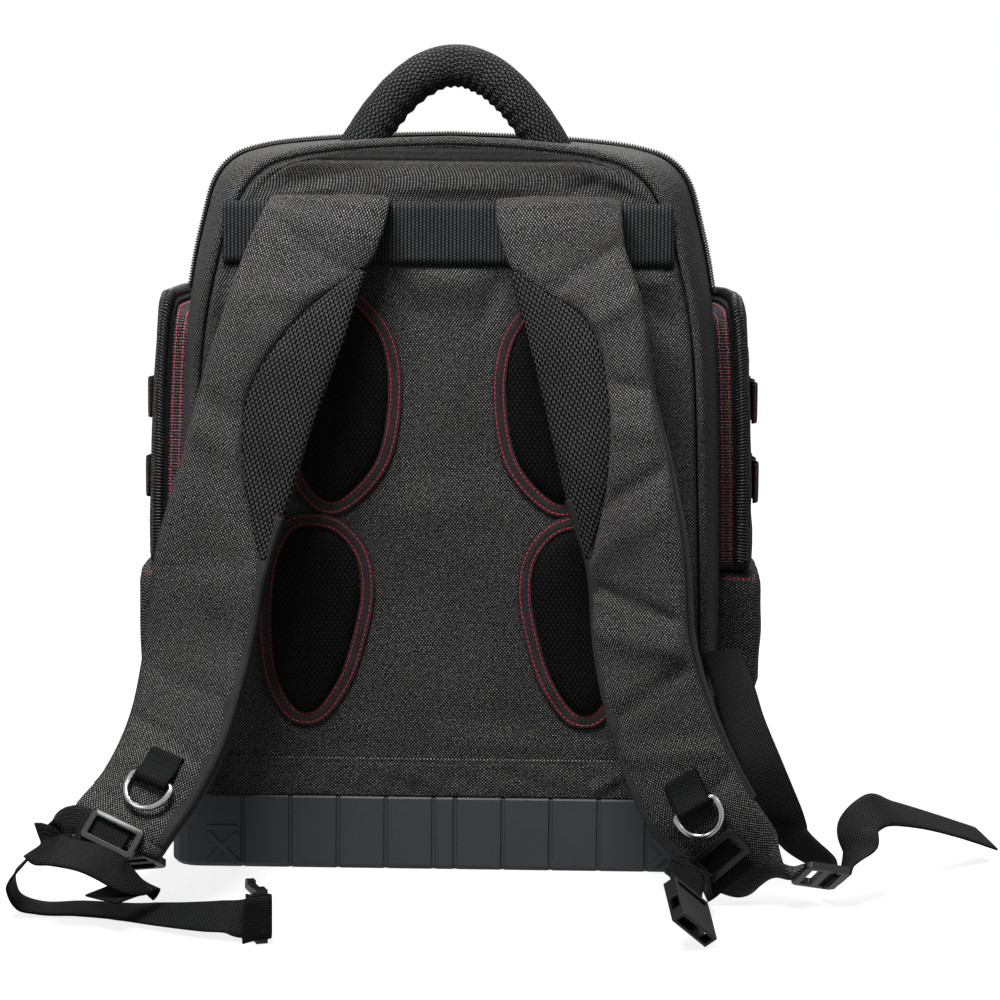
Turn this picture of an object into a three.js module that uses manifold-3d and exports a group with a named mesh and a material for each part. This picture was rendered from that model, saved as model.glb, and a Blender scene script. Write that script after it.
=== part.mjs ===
// A tool backpack standing on its moulded base, seen from the side that is worn against the back.
// X runs across the bag, the wearer's side faces -Y, Z is up, and the origin is the middle of the
// base's underside. All sizes are in millimetres.
import * as THREE from 'three';
import { mergeVertices } from 'three/addons/utils/BufferGeometryUtils.js';
import Module from 'manifold-3d';

const wasm = await Module();
wasm.setup();

// Overall sizes
const bagHeight = 455;        // floor to the crown of the back panel
const bagDepth = 210;         // base, wearer's side to front
const panelWidth = 332;       // across the piping at the foot of the back panel
const frontLean = 38;         // how far the front face leans back at the top
const gap = 0.3;              // clearance between pieces that meet
const softGap = 0.8;          // clearance between curved pieces that meet

// Base
const trayHeight = 46;
const trayWall = 3;
const trayFloor = 4;
const trayCorner = 18;
const trayRunout = 2.4;       // how far the base stands out past the panel's foot on each side
const grooveDepth = 1.3;
const grooveWidth = 3;
const grooveSlope = 0.7;
const grooveCount = 8;        // plates on each long face, not counting the narrow middle one
const middlePlate = 13.3;
const plateWidth = 29.8;
const endPlateWidth = 32;
const footCross = 19;         // side of the square that holds the crossed ribs on each corner
const footRib = 3.2;
const footRelief = 1.6;

// Body, panel and trim
const shellWall = 3;
const panelThickness = 8;
const panelEdge = 3;
const pipingRadius = 2.8;
const hemHeight = 24;
const hemThickness = 2.2;
const bandWidth = 38;
const bandThickness = 1.8;
const bandShare = 0.82857;    // the webbing band's lower edge, as a share of the bag's height
const zipWidth = 20;
const zipThickness = 1.6;
const zipDepthShare = 0.3;   // how far back from the panel the main zip runs, as a share of depth

// Handle
const handleSpan = 112;       // between the middles of the two feet
const handleRise = 46;
const handleThickness = 26;
const handleShift = 3;
const handleSetback = 25;

// Back pads
const padRise = 8;
const borderWidth = 9;
const borderThickness = 2.2;

// Side pockets
const pocketDepth = 118;      // along the bag's depth
const pocketSetback = 56;     // behind the panel's face
const pocketSpread = 20;      // how far the pocket stands out from the body
const pocketBottom = 182;
const pocketHeight = 176;
const pocketWall = 2;
const pocketSlope = 18;       // fall of the pocket's top towards the body
const pouchBottom = 50;
const pouchSpread = 26;
const pocketZipWidth = 9;
const pocketZipThickness = 2;
const loopWidth = 25;
const loopThickness = 1.6;
const loopStandoff = 3.5;
const loopHeights = [236, 287];
const loopCount = 3;
const pocketCorner = 14;
const pocketBottomCorner = 6;
const pouchCorner = 26;
const edgeShare = 0.88;       // where the pocket's outer face begins, as a share of its spread
const crownShare = 1.06;      // how far the outer face's dome reaches, as a share of its spread

// Straps and their hardware
const strapWidth = 75;
const strapThickness = 16;
const tabWidth = 24;
const tabThickness = 1.5;
const tabLength = 19;
const ringWire = 1.8;
const ringSpan = 28;
const ringArm = 5;
const ringPlay = 0.6;
const sternumWidth = 25;
const sternumThickness = 1.5;
const sewnGap = 1.28;         // between a strap and the webbing sewn to it
const slideLength = 34;
const slideDepth = 19;
const slideBar = 3.6;
const slideThickness = 3;
const adjusterWidth = 25;
const adjusterThickness = 1.5;
const lockLength = 35;
const lockDepth = 27;
const lockBar = 4.5;
const lockThickness = 4.5;
const buckleWidth = 31;
const buckleLength = 30;
const buckleThickness = 9;

// Derived places
const panelFace = -(bagDepth / 2 - trayWall - gap);
const shellBack = panelFace + panelThickness + gap;
const shellDepth = bagDepth / 2 - trayWall - softGap - shellBack;
const shellBottom = trayFloor + gap;
const shellHeight = bagHeight - shellBottom;
const halfPanel = panelWidth / 2;
const bandHeight = bandShare * bagHeight;

const colours = {
  weave: 0x2b2b2d, mesh: 0x161819, web: 0x141616, rubber: 0x3a3c3f, plastic: 0x17181a,
  chrome: 0xc8c8ca, zip: 0x101112, trim: 0x222224,
};
const finishes = {
  weave: { roughness: 0.85, metalness: 0 }, mesh: { roughness: 0.9, metalness: 0 },
  web: { roughness: 0.8, metalness: 0 }, rubber: { roughness: 0.6, metalness: 0 },
  plastic: { roughness: 0.4, metalness: 0 }, chrome: { roughness: 0.15, metalness: 1 },
  zip: { roughness: 0.5, metalness: 0 }, trim: { roughness: 0.85, metalness: 0 },
};

const backpack = new THREE.Group();

function addPiece(name, geometry, finish, parent = backpack) {
  const material = new THREE.MeshStandardMaterial({ color: colours[finish], ...finishes[finish] });
  const mesh = new THREE.Mesh(geometry, material);
  mesh.name = name;
  parent.add(mesh);
  return mesh;
}

// General surface tools

function signedVolume(points, faces) {
  let total = 0;
  for (const [a, b, c] of faces) {
    total += points[a].dot(new THREE.Vector3().crossVectors(points[b], points[c]));
  }
  return total / 6;
}

function geometryFrom(points, faces) {
  const outward = signedVolume(points, faces) > 0;
  const order = outward ? faces : faces.map(([a, b, c]) => [a, c, b]);
  const geometry = new THREE.BufferGeometry();
  const flat = points.flatMap((point) => [point.x, point.y, point.z]);
  geometry.setAttribute('position', new THREE.Float32BufferAttribute(flat, 3));
  geometry.setIndex(order.flat());
  return geometry;
}

// Quads between two rings of the same count; a ring of one point is a pole.
function joinRings(faces, startA, countA, startB, countB) {
  const count = Math.max(countA, countB);
  for (let j = 0; j < count; j++) {
    const next = (j + 1) % count;
    if (countA > 1) {
      faces.push([startA + j, startA + next, startB + (countB > 1 ? j : 0)]);
    }
    if (countB > 1) {
      faces.push([startB + next, startB + j, startA + (countA > 1 ? next : 0)]);
    }
  }
}

// A closed body through a row of rings. Ends that aren't poles get a flat cap.
function bodyFromRings(rings) {
  const points = [];
  const starts = [];
  for (const ring of rings) {
    starts.push(points.length);
    points.push(...ring);
  }
  const faces = [];
  for (let i = 0; i + 1 < rings.length; i++) {
    joinRings(faces, starts[i], rings[i].length, starts[i + 1], rings[i + 1].length);
  }
  const last = rings.length - 1;
  for (let j = 1; j + 1 < rings[0].length; j++) {
    faces.push([starts[0], starts[0] + j + 1, starts[0] + j]);
  }
  for (let j = 1; j + 1 < rings[last].length; j++) {
    faces.push([starts[last], starts[last] + j, starts[last] + j + 1]);
  }
  return geometryFrom(points, faces);
}

// A closed body like a torus: the last ring joins the first.
function bodyFromLoop(rings) {
  const points = rings.flat();
  const count = rings[0].length;
  const faces = [];
  for (let i = 0; i < rings.length; i++) {
    joinRings(faces, i * count, count, ((i + 1) % rings.length) * count, count);
  }
  return geometryFrom(points, faces);
}

function toManifold(geometry) {
  const bare = geometry.clone();
  bare.deleteAttribute('normal');
  bare.deleteAttribute('uv');
  const merged = mergeVertices(bare, 1e-4);
  return new wasm.Manifold(new wasm.Mesh({
    numProp: 3,
    vertProperties: new Float32Array(merged.attributes.position.array),
    triVerts: new Uint32Array(merged.index.array),
  }));
}

function fromManifold(solid) {
  const mesh = solid.getMesh();
  const geometry = new THREE.BufferGeometry();
  geometry.setAttribute('position', new THREE.BufferAttribute(new Float32Array(mesh.vertProperties), 3));
  geometry.setIndex(new THREE.BufferAttribute(new Uint32Array(mesh.triVerts), 1));
  return geometry;
}

// A table read as smooth curves: a cubic through every column, with knots at the square root of the
// distance between rows in the columns named by `along`. Returns a function of a share from 0 to 1.
function smoothTable(rows, along) {
  const keys = Object.keys(rows[0]);
  const knots = [0];
  for (let i = 1; i < rows.length; i++) {
    const step = Math.hypot(...along.map((key) => rows[i][key] - rows[i - 1][key]));
    knots.push(knots[i - 1] + Math.sqrt(step));
  }
  const last = rows.length - 1;
  const slope = (key, i) => (rows[i + 1][key] - rows[i][key]) / (knots[i + 1] - knots[i]);
  const tangent = (key, i) => {
    if (i === 0) return slope(key, 0);
    if (i === last) return slope(key, last - 1);
    const before = knots[i] - knots[i - 1];
    const after = knots[i + 1] - knots[i];
    return (after * slope(key, i - 1) + before * slope(key, i)) / (before + after);
  };
  return (share) => {
    const knot = Math.min(Math.max(share, 0), 1) * knots[last];
    let i = 0;
    while (i < last - 1 && knot > knots[i + 1]) i++;
    const width = knots[i + 1] - knots[i];
    const t = (knot - knots[i]) / width;
    const row = {};
    for (const key of keys) {
      const rise = (2 * t ** 3 - 3 * t ** 2 + 1) * rows[i][key] + (3 * t ** 2 - 2 * t ** 3) * rows[i + 1][key];
      const lean = (t ** 3 - 2 * t ** 2 + t) * tangent(key, i) + (t ** 3 - t ** 2) * tangent(key, i + 1);
      row[key] = rise + lean * width;
    }
    return row;
  };
}

// The frame of a ribbon at a share of its route: where it is, the way it runs (along), its width
// (across) and its outer face (out). Across starts at `hint` and turns about the route.
function ribbonFrame(route, share, hint) {
  const step = 0.002;
  const place = (s) => {
    const row = route(s);
    return new THREE.Vector3(row.x, row.y, row.z);
  };
  const low = Math.max(share - step, 0);
  const high = Math.min(share + step, 1);
  const along = place(high).sub(place(low)).normalize();
  const across = hint.clone().addScaledVector(along, -hint.dot(along)).normalize();
  const turn = THREE.MathUtils.degToRad(route(share).turn);
  across.applyAxisAngle(along, turn);
  const out = new THREE.Vector3().crossVectors(along, across);
  return { point: place(share), along, across, out, row: route(share) };
}

function sectionRing(frame, section) {
  return section.map(([across, out]) => frame.point.clone()
    .addScaledVector(frame.across, across)
    .addScaledVector(frame.out, out));
}

function flatSection(width, thickness) {
  const a = width / 2;
  const b = thickness / 2;
  return [[-a, -b], [a, -b], [a, b], [-a, b]];
}

// A flat webbing ribbon through stations, each a point and the way its width points there.
function webbing(stations, width, thickness, count) {
  const rows = stations.map(([point, across]) => ({
    x: point.x, y: point.y, z: point.z, hx: across.x, hy: across.y, hz: across.z, turn: 0,
  }));
  const route = smoothTable(rows, ['x', 'y', 'z']);
  const rings = [];
  for (let i = 0; i <= count; i++) {
    const row = route(i / count);
    const frame = ribbonFrame(route, i / count, new THREE.Vector3(row.hx, row.hy, row.hz));
    rings.push(sectionRing(frame, flatSection(width, thickness)));
  }
  return bodyFromRings(rings);
}

// Outline of the body: up is a share of the height; panel and middle are shares of half the panel's
// width, at the panel and at the middle of the depth, where the corners are squarer.
const outlineTable = [
  { up: 0.0, panel: 0.94, middle: 0.94 },
  { up: 0.012, panel: 0.985, middle: 0.985 },
  { up: 0.05, panel: 0.998, middle: 0.998 },
  { up: 0.11, panel: 1.0, middle: 1.005 },
  { up: 0.28, panel: 0.985, middle: 1.03 },
  { up: 0.5, panel: 0.968, middle: 1.025 },
  { up: 0.72, panel: 0.94, middle: 1.0 },
  { up: 0.82, panel: 0.892, middle: 0.965 },
  { up: 0.885, panel: 0.84, middle: 0.925 },
  { up: 0.935, panel: 0.775, middle: 0.885 },
  { up: 0.965, panel: 0.69, middle: 0.82 },
  { up: 0.982, panel: 0.56, middle: 0.7 },
  { up: 0.994, panel: 0.32, middle: 0.42 },
  { up: 1.0, panel: 0.0, middle: 0.0 },
];

// Sections along the depth: depth from the panel to the front, blend from the panel's outline to the
// middle one, and the share of width and height that the section keeps.
const depthTable = [
  { depth: 0.0, blend: 0.0, grow: 1.0, rise: 1.0 },
  { depth: 0.1, blend: 0.6, grow: 1.0, rise: 1.0 },
  { depth: 0.25, blend: 1.0, grow: 1.0, rise: 1.0 },
  { depth: 0.5, blend: 1.0, grow: 1.005, rise: 0.997 },
  { depth: 0.75, blend: 1.0, grow: 1.0, rise: 0.985 },
  { depth: 0.88, blend: 1.0, grow: 0.985, rise: 0.968 },
  { depth: 0.96, blend: 1.0, grow: 0.95, rise: 0.94 },
  { depth: 1.0, blend: 1.0, grow: 0.88, rise: 0.895 },
];
const outlineAt = smoothTable(outlineTable, ['up', 'panel']);
const depthAt = smoothTable(depthTable, ['depth']);
const outlineSteps = 17;

function depthRow(depth) {
  let low = 0;
  let high = 1;
  for (let i = 0; i < 24; i++) {
    const middle = (low + high) / 2;
    if (depthAt(middle).depth < depth) low = middle;
    else high = middle;
  }
  return depthAt(low);
}

// One ring of the body's surface at a share of the depth, moved inwards by inset.
function shellRing(depth, inset = 0, shrink = 1) {
  const section = depthRow(depth);
  const half = [];
  for (let i = 0; i <= outlineSteps; i++) {
    const row = outlineAt(i / outlineSteps);
    const share = row.panel + (row.middle - row.panel) * section.blend;
    half.push(new THREE.Vector2(
      share * halfPanel * section.grow * shrink,
      row.up * shellHeight * section.rise * shrink,
    ));
  }
  const lift = shellHeight * (1 - shrink) / 2;
  const ring2d = [...half, ...half.slice(0, -1).reverse().map((p) => new THREE.Vector2(-p.x, p.y))];
  return ring2d.map((point, i) => {
    const before = ring2d[(i + ring2d.length - 1) % ring2d.length];
    const after = ring2d[(i + 1) % ring2d.length];
    const way = after.clone().sub(before).normalize();
    const x = point.x - way.y * inset;
    const z = point.y + way.x * inset;
    const up = point.y / shellHeight;
    const y = shellBack + depth * (shellDepth - frontLean * up);
    return new THREE.Vector3(x, y, z + lift + shellBottom);
  });
}

// Half width of the body at a height and a place along the depth.
function sideAt(y, z) {
  const section = (up) => depthRow((y - shellBack) / (shellDepth - frontLean * up));
  let up = (z - shellBottom) / shellHeight;
  const row = section(up);
  up /= row.rise;
  let low = 0;
  let high = 1;
  for (let i = 0; i < 24; i++) {
    const middle = (low + high) / 2;
    if (outlineAt(middle).up < up) low = middle;
    else high = middle;
  }
  const outline = outlineAt(low);
  return (outline.panel + (outline.middle - outline.panel) * row.blend) * halfPanel * row.grow;
}

// Height of the body's top at a place across and along the depth.
function topAt(x, y) {
  const row = depthRow((y - shellBack) / (shellDepth - frontLean));
  let low = 0.6;
  let high = 1;
  for (let i = 0; i < 24; i++) {
    const middle = (low + high) / 2;
    const outline = outlineAt(middle);
    const half = (outline.panel + (outline.middle - outline.panel) * row.blend) * halfPanel * row.grow;
    if (half > Math.abs(x)) low = middle;
    else high = middle;
  }
  return shellBottom + outlineAt(low).up * shellHeight * row.rise;
}

// Body: a fabric cup, closed at the front and open towards the panel.
function mainShell() {
  const outerDepths = [0, 0.1, 0.25, 0.5, 0.75, 0.88, 0.96, 1];
  const innerDepths = [0, 0.25, 0.5, 0.75, 0.9];
  const frontInside = 1 - shellWall / (shellDepth - frontLean);
  const pole = (depth) => {
    const middleUp = 0.45;
    const y = shellBack + depth * (shellDepth - frontLean * middleUp);
    return [new THREE.Vector3(0, y, shellBottom + middleUp * shellHeight)];
  };
  const inside = innerDepths.map((depth) => shellRing(depth, shellWall));
  inside.push(shellRing(frontInside, shellWall * 2, 0.9));
  return bodyFromRings([
    pole(frontInside), ...inside.reverse(), ...outerDepths.map((depth) => shellRing(depth)), pole(1),
  ]);
}
addPiece('main_shell', mainShell(), 'weave');

// The body's outer form, grown by the gap, for cutting what is sewn to its outside.
function grownBody() {
  const depths = depthTable.map((row) => row.depth);
  const rings = depths.map((depth) => shellRing(depth, -gap));
  const first = shellRing(0, -gap).map((point) => point.clone().setY(shellBack - shellWall));
  return toManifold(bodyFromRings([first, ...rings]));
}
const bodyCut = grownBody();

function cutByBody(geometry) {
  return fromManifold(toManifold(geometry).subtract(bodyCut));
}

// Back panel: a padded board whose edge is drawn in to the welt.
function panelRing(inset, y, foot) {
  const half = [];
  for (let i = 0; i <= outlineSteps; i++) {
    const row = outlineAt(i / outlineSteps);
    half.push(new THREE.Vector2(row.panel * halfPanel, shellBottom + row.up * shellHeight));
  }
  const ring = [...half, ...half.slice(0, -1).reverse().map((p) => new THREE.Vector2(-p.x, p.y))];
  return ring.map((point, i) => {
    const before = ring[(i + ring.length - 1) % ring.length];
    const after = ring[(i + 1) % ring.length];
    const way = after.clone().sub(before).normalize();
    const z = Math.max(point.y + way.x * inset, foot);
    return new THREE.Vector3(point.x - way.y * inset, y, z);
  });
}

function backPanel() {
  const drawnIn = pipingRadius * 2 + softGap;
  const foot = shellBottom;
  return bodyFromRings([
    [new THREE.Vector3(0, panelFace, bagHeight / 2)],
    panelRing(drawnIn + panelEdge, panelFace, foot),
    panelRing(drawnIn, panelFace + panelEdge, foot),
    panelRing(drawnIn, panelFace + panelThickness, foot),
    [new THREE.Vector3(0, panelFace + panelThickness, bagHeight / 2)],
  ]);
}
addPiece('back_panel', backPanel(), 'weave');

// Welt: a round cord that follows the panel's edge from one side of the base to the other.
function panelPiping() {
  const centre = panelRing(pipingRadius, panelFace + panelEdge, shellBottom);
  const start = trayHeight + gap;
  const upper = centre.filter((point) => point.z > start + pipingRadius);
  const foot = (x) => new THREE.Vector3(x, panelFace + panelEdge, start);
  const first = upper[0];
  const last = upper[upper.length - 1];
  const path = [foot(first.x), ...upper, foot(last.x)];
  const sides = 6;
  const rings = path.map((point, i) => {
    const before = path[Math.max(i - 1, 0)];
    const after = path[Math.min(i + 1, path.length - 1)];
    const along = after.clone().sub(before).normalize();
    const out = new THREE.Vector3(0, -1, 0);
    const across = new THREE.Vector3().crossVectors(out, along);
    const section = [];
    for (let k = 0; k < sides; k++) {
      const angle = (k / sides) * 2 * Math.PI;
      const radius = pipingRadius - gap / 2;
      section.push([radius * Math.cos(angle), radius * Math.sin(angle)]);
    }
    return sectionRing({ point, across, out }, section);
  });
  return bodyFromRings(rings);
}
addPiece('panel_piping', panelPiping(), 'trim');

// A thin strip on the panel's face between two heights, as wide as the panel's flat face there.
function faceStrip(bottom, top, thickness, sideRoom) {
  const halfAt = (z) => {
    let low = 0;
    let high = 0.9;
    for (let i = 0; i < 24; i++) {
      const middle = (low + high) / 2;
      if (shellBottom + outlineAt(middle).up * shellHeight < z) low = middle;
      else high = middle;
    }
    return outlineAt(low).panel * halfPanel - sideRoom;
  };
  const back = panelFace - gap;
  const ring = (z) => {
    const half = halfAt(z);
    return [
      new THREE.Vector3(-half, back, z), new THREE.Vector3(half, back, z),
      new THREE.Vector3(half, back - thickness, z), new THREE.Vector3(-half, back - thickness, z),
    ];
  };
  return bodyFromRings([ring(bottom), ring((bottom + top) / 2), ring(top)]);
}
const flatFaceInset = pipingRadius * 2 + softGap + panelEdge;
const hemBottom = trayHeight + gap;
addPiece('panel_hem', faceStrip(hemBottom, hemBottom + hemHeight, hemThickness, pipingRadius), 'weave');
addPiece('strap_anchor_band',
  faceStrip(bandHeight, bandHeight + bandWidth, bandThickness, flatFaceInset), 'web');

// Base: a moulded tray with upright grooves all round and crossed ribs on the corners.
function trayOutline(inset) {
  const halfX = halfPanel + trayRunout + trayWall - inset;
  const halfY = bagDepth / 2 - inset;
  const radius = Math.max(trayCorner - inset, 1);
  const points = [];
  const edges = [
    { way: [1, 0], out: [0, -1], length: halfX, offset: halfY },
    { way: [0, 1], out: [1, 0], length: halfY, offset: halfX },
    { way: [-1, 0], out: [0, 1], length: halfX, offset: halfY },
    { way: [0, -1], out: [-1, 0], length: halfY, offset: halfX },
  ];
  for (const edge of edges) {
    const long = edge.way[0] !== 0;
    const grooves = long ? longGrooves() : sideGrooves();
    const at = (along, depth) => points.push(new THREE.Vector2(
      edge.way[0] * along + edge.out[0] * (edge.offset - depth),
      edge.way[1] * along + edge.out[1] * (edge.offset - depth),
    ));
    for (const groove of grooves) {
      at(groove - grooveWidth / 2, 0);
      at(groove - grooveWidth / 2 + grooveSlope, grooveDepth);
      at(groove + grooveWidth / 2 - grooveSlope, grooveDepth);
      at(groove + grooveWidth / 2, 0);
    }
    const cornerSteps = 4;
    for (let k = 0; k <= cornerSteps; k++) {
      const angle = (k / cornerSteps) * Math.PI / 2;
      at(edge.length - radius + radius * Math.sin(angle), radius * (1 - Math.cos(angle)));
    }
  }
  return points;
}

function longGrooves() {
  const right = [];
  for (let k = 0; k <= grooveCount / 2; k++) right.push(middlePlate / 2 + k * plateWidth);
  return [...right.map((x) => -x).reverse(), ...right];
}

function sideGrooves() {
  const half = bagDepth / 2 - endPlateWidth;
  const count = 3;
  const grooves = [];
  for (let k = 0; k <= count; k++) grooves.push(-half + (2 * half * k) / count);
  return grooves;
}

function footCrosses() {
  const pieces = [];
  const halfX = middlePlate / 2 + (grooveCount / 2) * plateWidth + grooveWidth + footCross / 2;
  const depth = footRelief * 2;
  for (const side of [-1, 1]) {
    for (const face of [-1, 1]) {
      for (const tilt of [-1, 1]) {
        const rib = new THREE.BoxGeometry(footCross * Math.SQRT2, depth, footRib);
        rib.rotateY(tilt * Math.PI / 4);
        rib.translate(side * halfX, face * bagDepth / 2, footRib + footCross / 2);
        pieces.push(rib);
      }
      const bar = new THREE.BoxGeometry(footCross, depth, footRib);
      bar.translate(side * halfX, face * bagDepth / 2, footRib * 2 + footCross);
      pieces.push(bar);
    }
  }
  return pieces;
}

function baseTray() {
  const ring = (inset, z) => trayOutline(inset).map((p) => new THREE.Vector3(p.x, p.y, z));
  const shellRoom = trayWall + grooveDepth / 2;
  const plainRing = (inset, z) => {
    const outer = trayOutline(0);
    const inner = trayOutline(inset);
    const halfX = halfPanel + trayRunout;
    const halfY = bagDepth / 2 - trayWall;
    return inner.map((p, i) => new THREE.Vector3(
      Math.sign(outer[i].x) * Math.min(Math.abs(outer[i].x), halfX),
      Math.sign(outer[i].y) * Math.min(Math.abs(outer[i].y), halfY), z));
  };
  const chamfer = 3;
  const body = bodyFromRings([
    [new THREE.Vector3(0, 0, 0)],
    ring(chamfer, 0), ring(0, chamfer), ring(0, trayHeight - 1), ring(1, trayHeight),
    plainRing(shellRoom, trayHeight), plainRing(shellRoom, trayFloor),
    [new THREE.Vector3(0, 0, trayFloor)],
  ]);
  let solid = toManifold(body);
  for (const cross of footCrosses()) solid = solid.add(toManifold(cross));
  return fromManifold(solid);
}
addPiece('base_tray', baseTray(), 'rubber');

// Main zip: a flat strip of tape and coil over the top of the body, end to end above the pockets.
function mainZip() {
  const half = zipWidth / 2 / shellDepth;
  const rows = [zipDepthShare - half, zipDepthShare + half];
  const lift = [softGap, softGap + zipThickness];
  const near = lift.map((inset) => shellRing(rows[0], -inset));
  const far = lift.map((inset) => shellRing(rows[1], -inset));
  const lowest = pocketBottom + pocketHeight + gap;
  const rings = [];
  for (let i = 0; i < near[0].length; i++) {
    if (near[0][i].z > lowest) rings.push([near[0][i], far[0][i], far[1][i], near[1][i]]);
  }
  return bodyFromRings(rings);
}
addPiece('main_zip', mainZip(), 'zip');

// Carry handle: a padded arch, whose feet follow the top of the body.
function carryHandle() {
  const steps = 14;
  const sides = 10;
  const y = panelFace + handleSetback;
  const footZ = topAt(handleSpan / 2, y);
  const rings = [];
  for (let i = 0; i <= steps; i++) {
    const share = 2 * (i / steps) - 1;
    const x = handleShift + (handleSpan / 2) * share;
    const z = footZ + handleRise * (1 - share * share);
    const along = new THREE.Vector3(handleSpan / 2, 0, -2 * handleRise * share).normalize();
    const out = new THREE.Vector3(0, -1, 0);
    const across = new THREE.Vector3().crossVectors(out, along);
    const section = [];
    for (let k = 0; k < sides; k++) {
      const turn = (k / sides) * 2 * Math.PI;
      section.push([Math.cos(turn) * handleThickness / 2, Math.sin(turn) * handleThickness / 2]);
    }
    const ring = sectionRing({ point: new THREE.Vector3(x, y, z), across, out }, section);
    if (i === 0 || i === steps) {
      ring.forEach((point) => { point.z = topAt(point.x, point.y) - softGap; });
    }
    rings.push(ring);
  }
  return cutByBody(bodyFromRings(rings));
}
addPiece('carry_handle', carryHandle(), 'mesh');

// Back pads: outlines as shares of half the panel's width and of the bag's height, for the left side.
const padTables = {
  upper: [
    { x: -0.305, z: 0.785 }, { x: -0.2, z: 0.735 }, { x: -0.165, z: 0.66 }, { x: -0.205, z: 0.565 },
    { x: -0.33, z: 0.505 }, { x: -0.455, z: 0.49 }, { x: -0.57, z: 0.53 }, { x: -0.63, z: 0.62 },
    { x: -0.61, z: 0.71 }, { x: -0.53, z: 0.775 }, { x: -0.41, z: 0.805 },
  ],
  lower: [
    { x: -0.5, z: 0.492 }, { x: -0.38, z: 0.48 }, { x: -0.29, z: 0.44 }, { x: -0.265, z: 0.385 },
    { x: -0.295, z: 0.32 }, { x: -0.355, z: 0.255 }, { x: -0.46, z: 0.205 }, { x: -0.58, z: 0.205 },
    { x: -0.67, z: 0.255 }, { x: -0.7, z: 0.34 }, { x: -0.675, z: 0.43 }, { x: -0.605, z: 0.48 },
  ],
};
const padSteps = 22;

function padRing(table, side, inset, y) {
  const closed = table.map((row) => new THREE.Vector3(-side * row.x * halfPanel, y, row.z * bagHeight));
  const curve = new THREE.CatmullRomCurve3(closed, true);
  const points = curve.getSpacedPoints(padSteps).slice(0, padSteps);
  const middle = points.reduce((sum, p) => sum.add(p), new THREE.Vector3()).divideScalar(padSteps);
  return points.map((point, i) => {
    const before = points[(i + padSteps - 1) % padSteps];
    const after = points[(i + 1) % padSteps];
    const way = after.clone().sub(before).normalize();
    const normal = new THREE.Vector3(way.z, 0, -way.x);
    if (normal.dot(point.clone().sub(middle)) > 0) normal.negate();
    return point.clone().addScaledVector(normal, inset);
  });
}

for (const [level, table] of Object.entries(padTables)) {
  for (const [name, side] of [['left', -1], ['right', 1]]) {
    const back = panelFace - gap;
    const front = back - borderThickness;
    const outer = [padRing(table, side, 0, back), padRing(table, side, 0, front)];
    const inner = [padRing(table, side, borderWidth, front), padRing(table, side, borderWidth, back)];
    const border = [];
    for (let i = 0; i < padSteps; i++) border.push([outer[0][i], outer[1][i], inner[0][i], inner[1][i]]);
    addPiece(`pad_border_${level}_${name}`, bodyFromLoop(border), 'trim');
    const seat = borderWidth + gap;
    const rings = [
      padRing(table, side, seat, back), padRing(table, side, seat, front),
      padRing(table, side, seat + padRise * 0.7, back - padRise * 0.8),
      padRing(table, side, seat + padRise * 1.6, back - padRise),
    ];
    const lift = rings[3].reduce((sum, p) => sum.add(p), new THREE.Vector3()).divideScalar(padSteps);
    addPiece(`pad_${level}_${name}`, bodyFromRings([...rings, [lift]]), 'mesh');
  }
}

// Side pockets: fabric cups open towards the body's side, with a domed outer face. The surface is
// given by points of an outline in the plane of the body's side, moved out by a share of the spread.
function pocketSurface(side, { bottom, top, slope, spread, narrow, bottomCorner }) {
  const back = panelFace + pocketSetback;
  const front = back + pocketDepth;
  const edgeSteps = 4;
  const seatOverlap = 1.5;
  const arcs = [
    { y: front - bottomCorner, z: bottom + bottomCorner, radius: bottomCorner, start: -90 },
    { y: front - pocketCorner, z: top - pocketCorner, radius: pocketCorner, start: 0 },
    { y: back + pocketCorner, z: top - pocketCorner, radius: pocketCorner, start: 90 },
    { y: back + bottomCorner, z: bottom + bottomCorner, radius: bottomCorner, start: 180 },
  ];
  const outline = (inset, fall) => {
    const corners = arcs.map((arc) => {
      const radius = Math.max(arc.radius - inset, 1);
      const shift = Math.max(inset - arc.radius + 1, 0);
      const toMiddle = -Math.sign(arc.y - (back + front) / 2) * shift;
      const toCentre = arc.z > (bottom + top) / 2 ? -fall - shift : shift;
      return [0, 45, 90].map((step) => {
        const angle = THREE.MathUtils.degToRad(arc.start + step);
        return [arc.y + radius * Math.cos(angle) + toMiddle, arc.z + radius * Math.sin(angle) + toCentre];
      });
    });
    return corners.flatMap((corner, i) => {
      const from = corner[2];
      const to = corners[(i + 1) % corners.length][0];
      const edge = [];
      for (let k = 1; k < edgeSteps; k++) {
        const t = k / edgeSteps;
        edge.push([from[0] + (to[0] - from[0]) * t, from[1] + (to[1] - from[1]) * t]);
      }
      return [...corner, ...edge];
    });
  };
  const standAt = (z) => spread * (narrow + (1 - narrow) * Math.min(2.2 * (z - bottom) / (top - bottom), 1));
  const ring = (inset, share, cut) => outline(inset, slope * Math.max(1 - share, 0)).map(([y, z]) => (
    new THREE.Vector3(side * (sideAt(y, z) + standAt(z) * share - cut), y, z)));
  const seat = (inset) => outline(inset, slope).map(([y, z]) => (
    new THREE.Vector3(side * (sideAt(y, z) - seatOverlap), y, z)));
  const centre = (cut) => {
    const y = (back + front) / 2;
    const z = (bottom + top) / 2;
    return [new THREE.Vector3(side * (sideAt(y, z) + spread * crownShare - cut), y, z)];
  };
  return { ring, seat, centre, back, front };
}

function pocketOuter(surface, grow) {
  return [
    surface.seat(-grow), surface.ring(-grow, 0.5, 0), surface.ring(-grow, edgeShare, 0),
    surface.ring(4 - grow, 0.98, -grow), surface.ring(14 - grow, 1.04, -grow), surface.centre(-grow),
  ];
}

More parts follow.
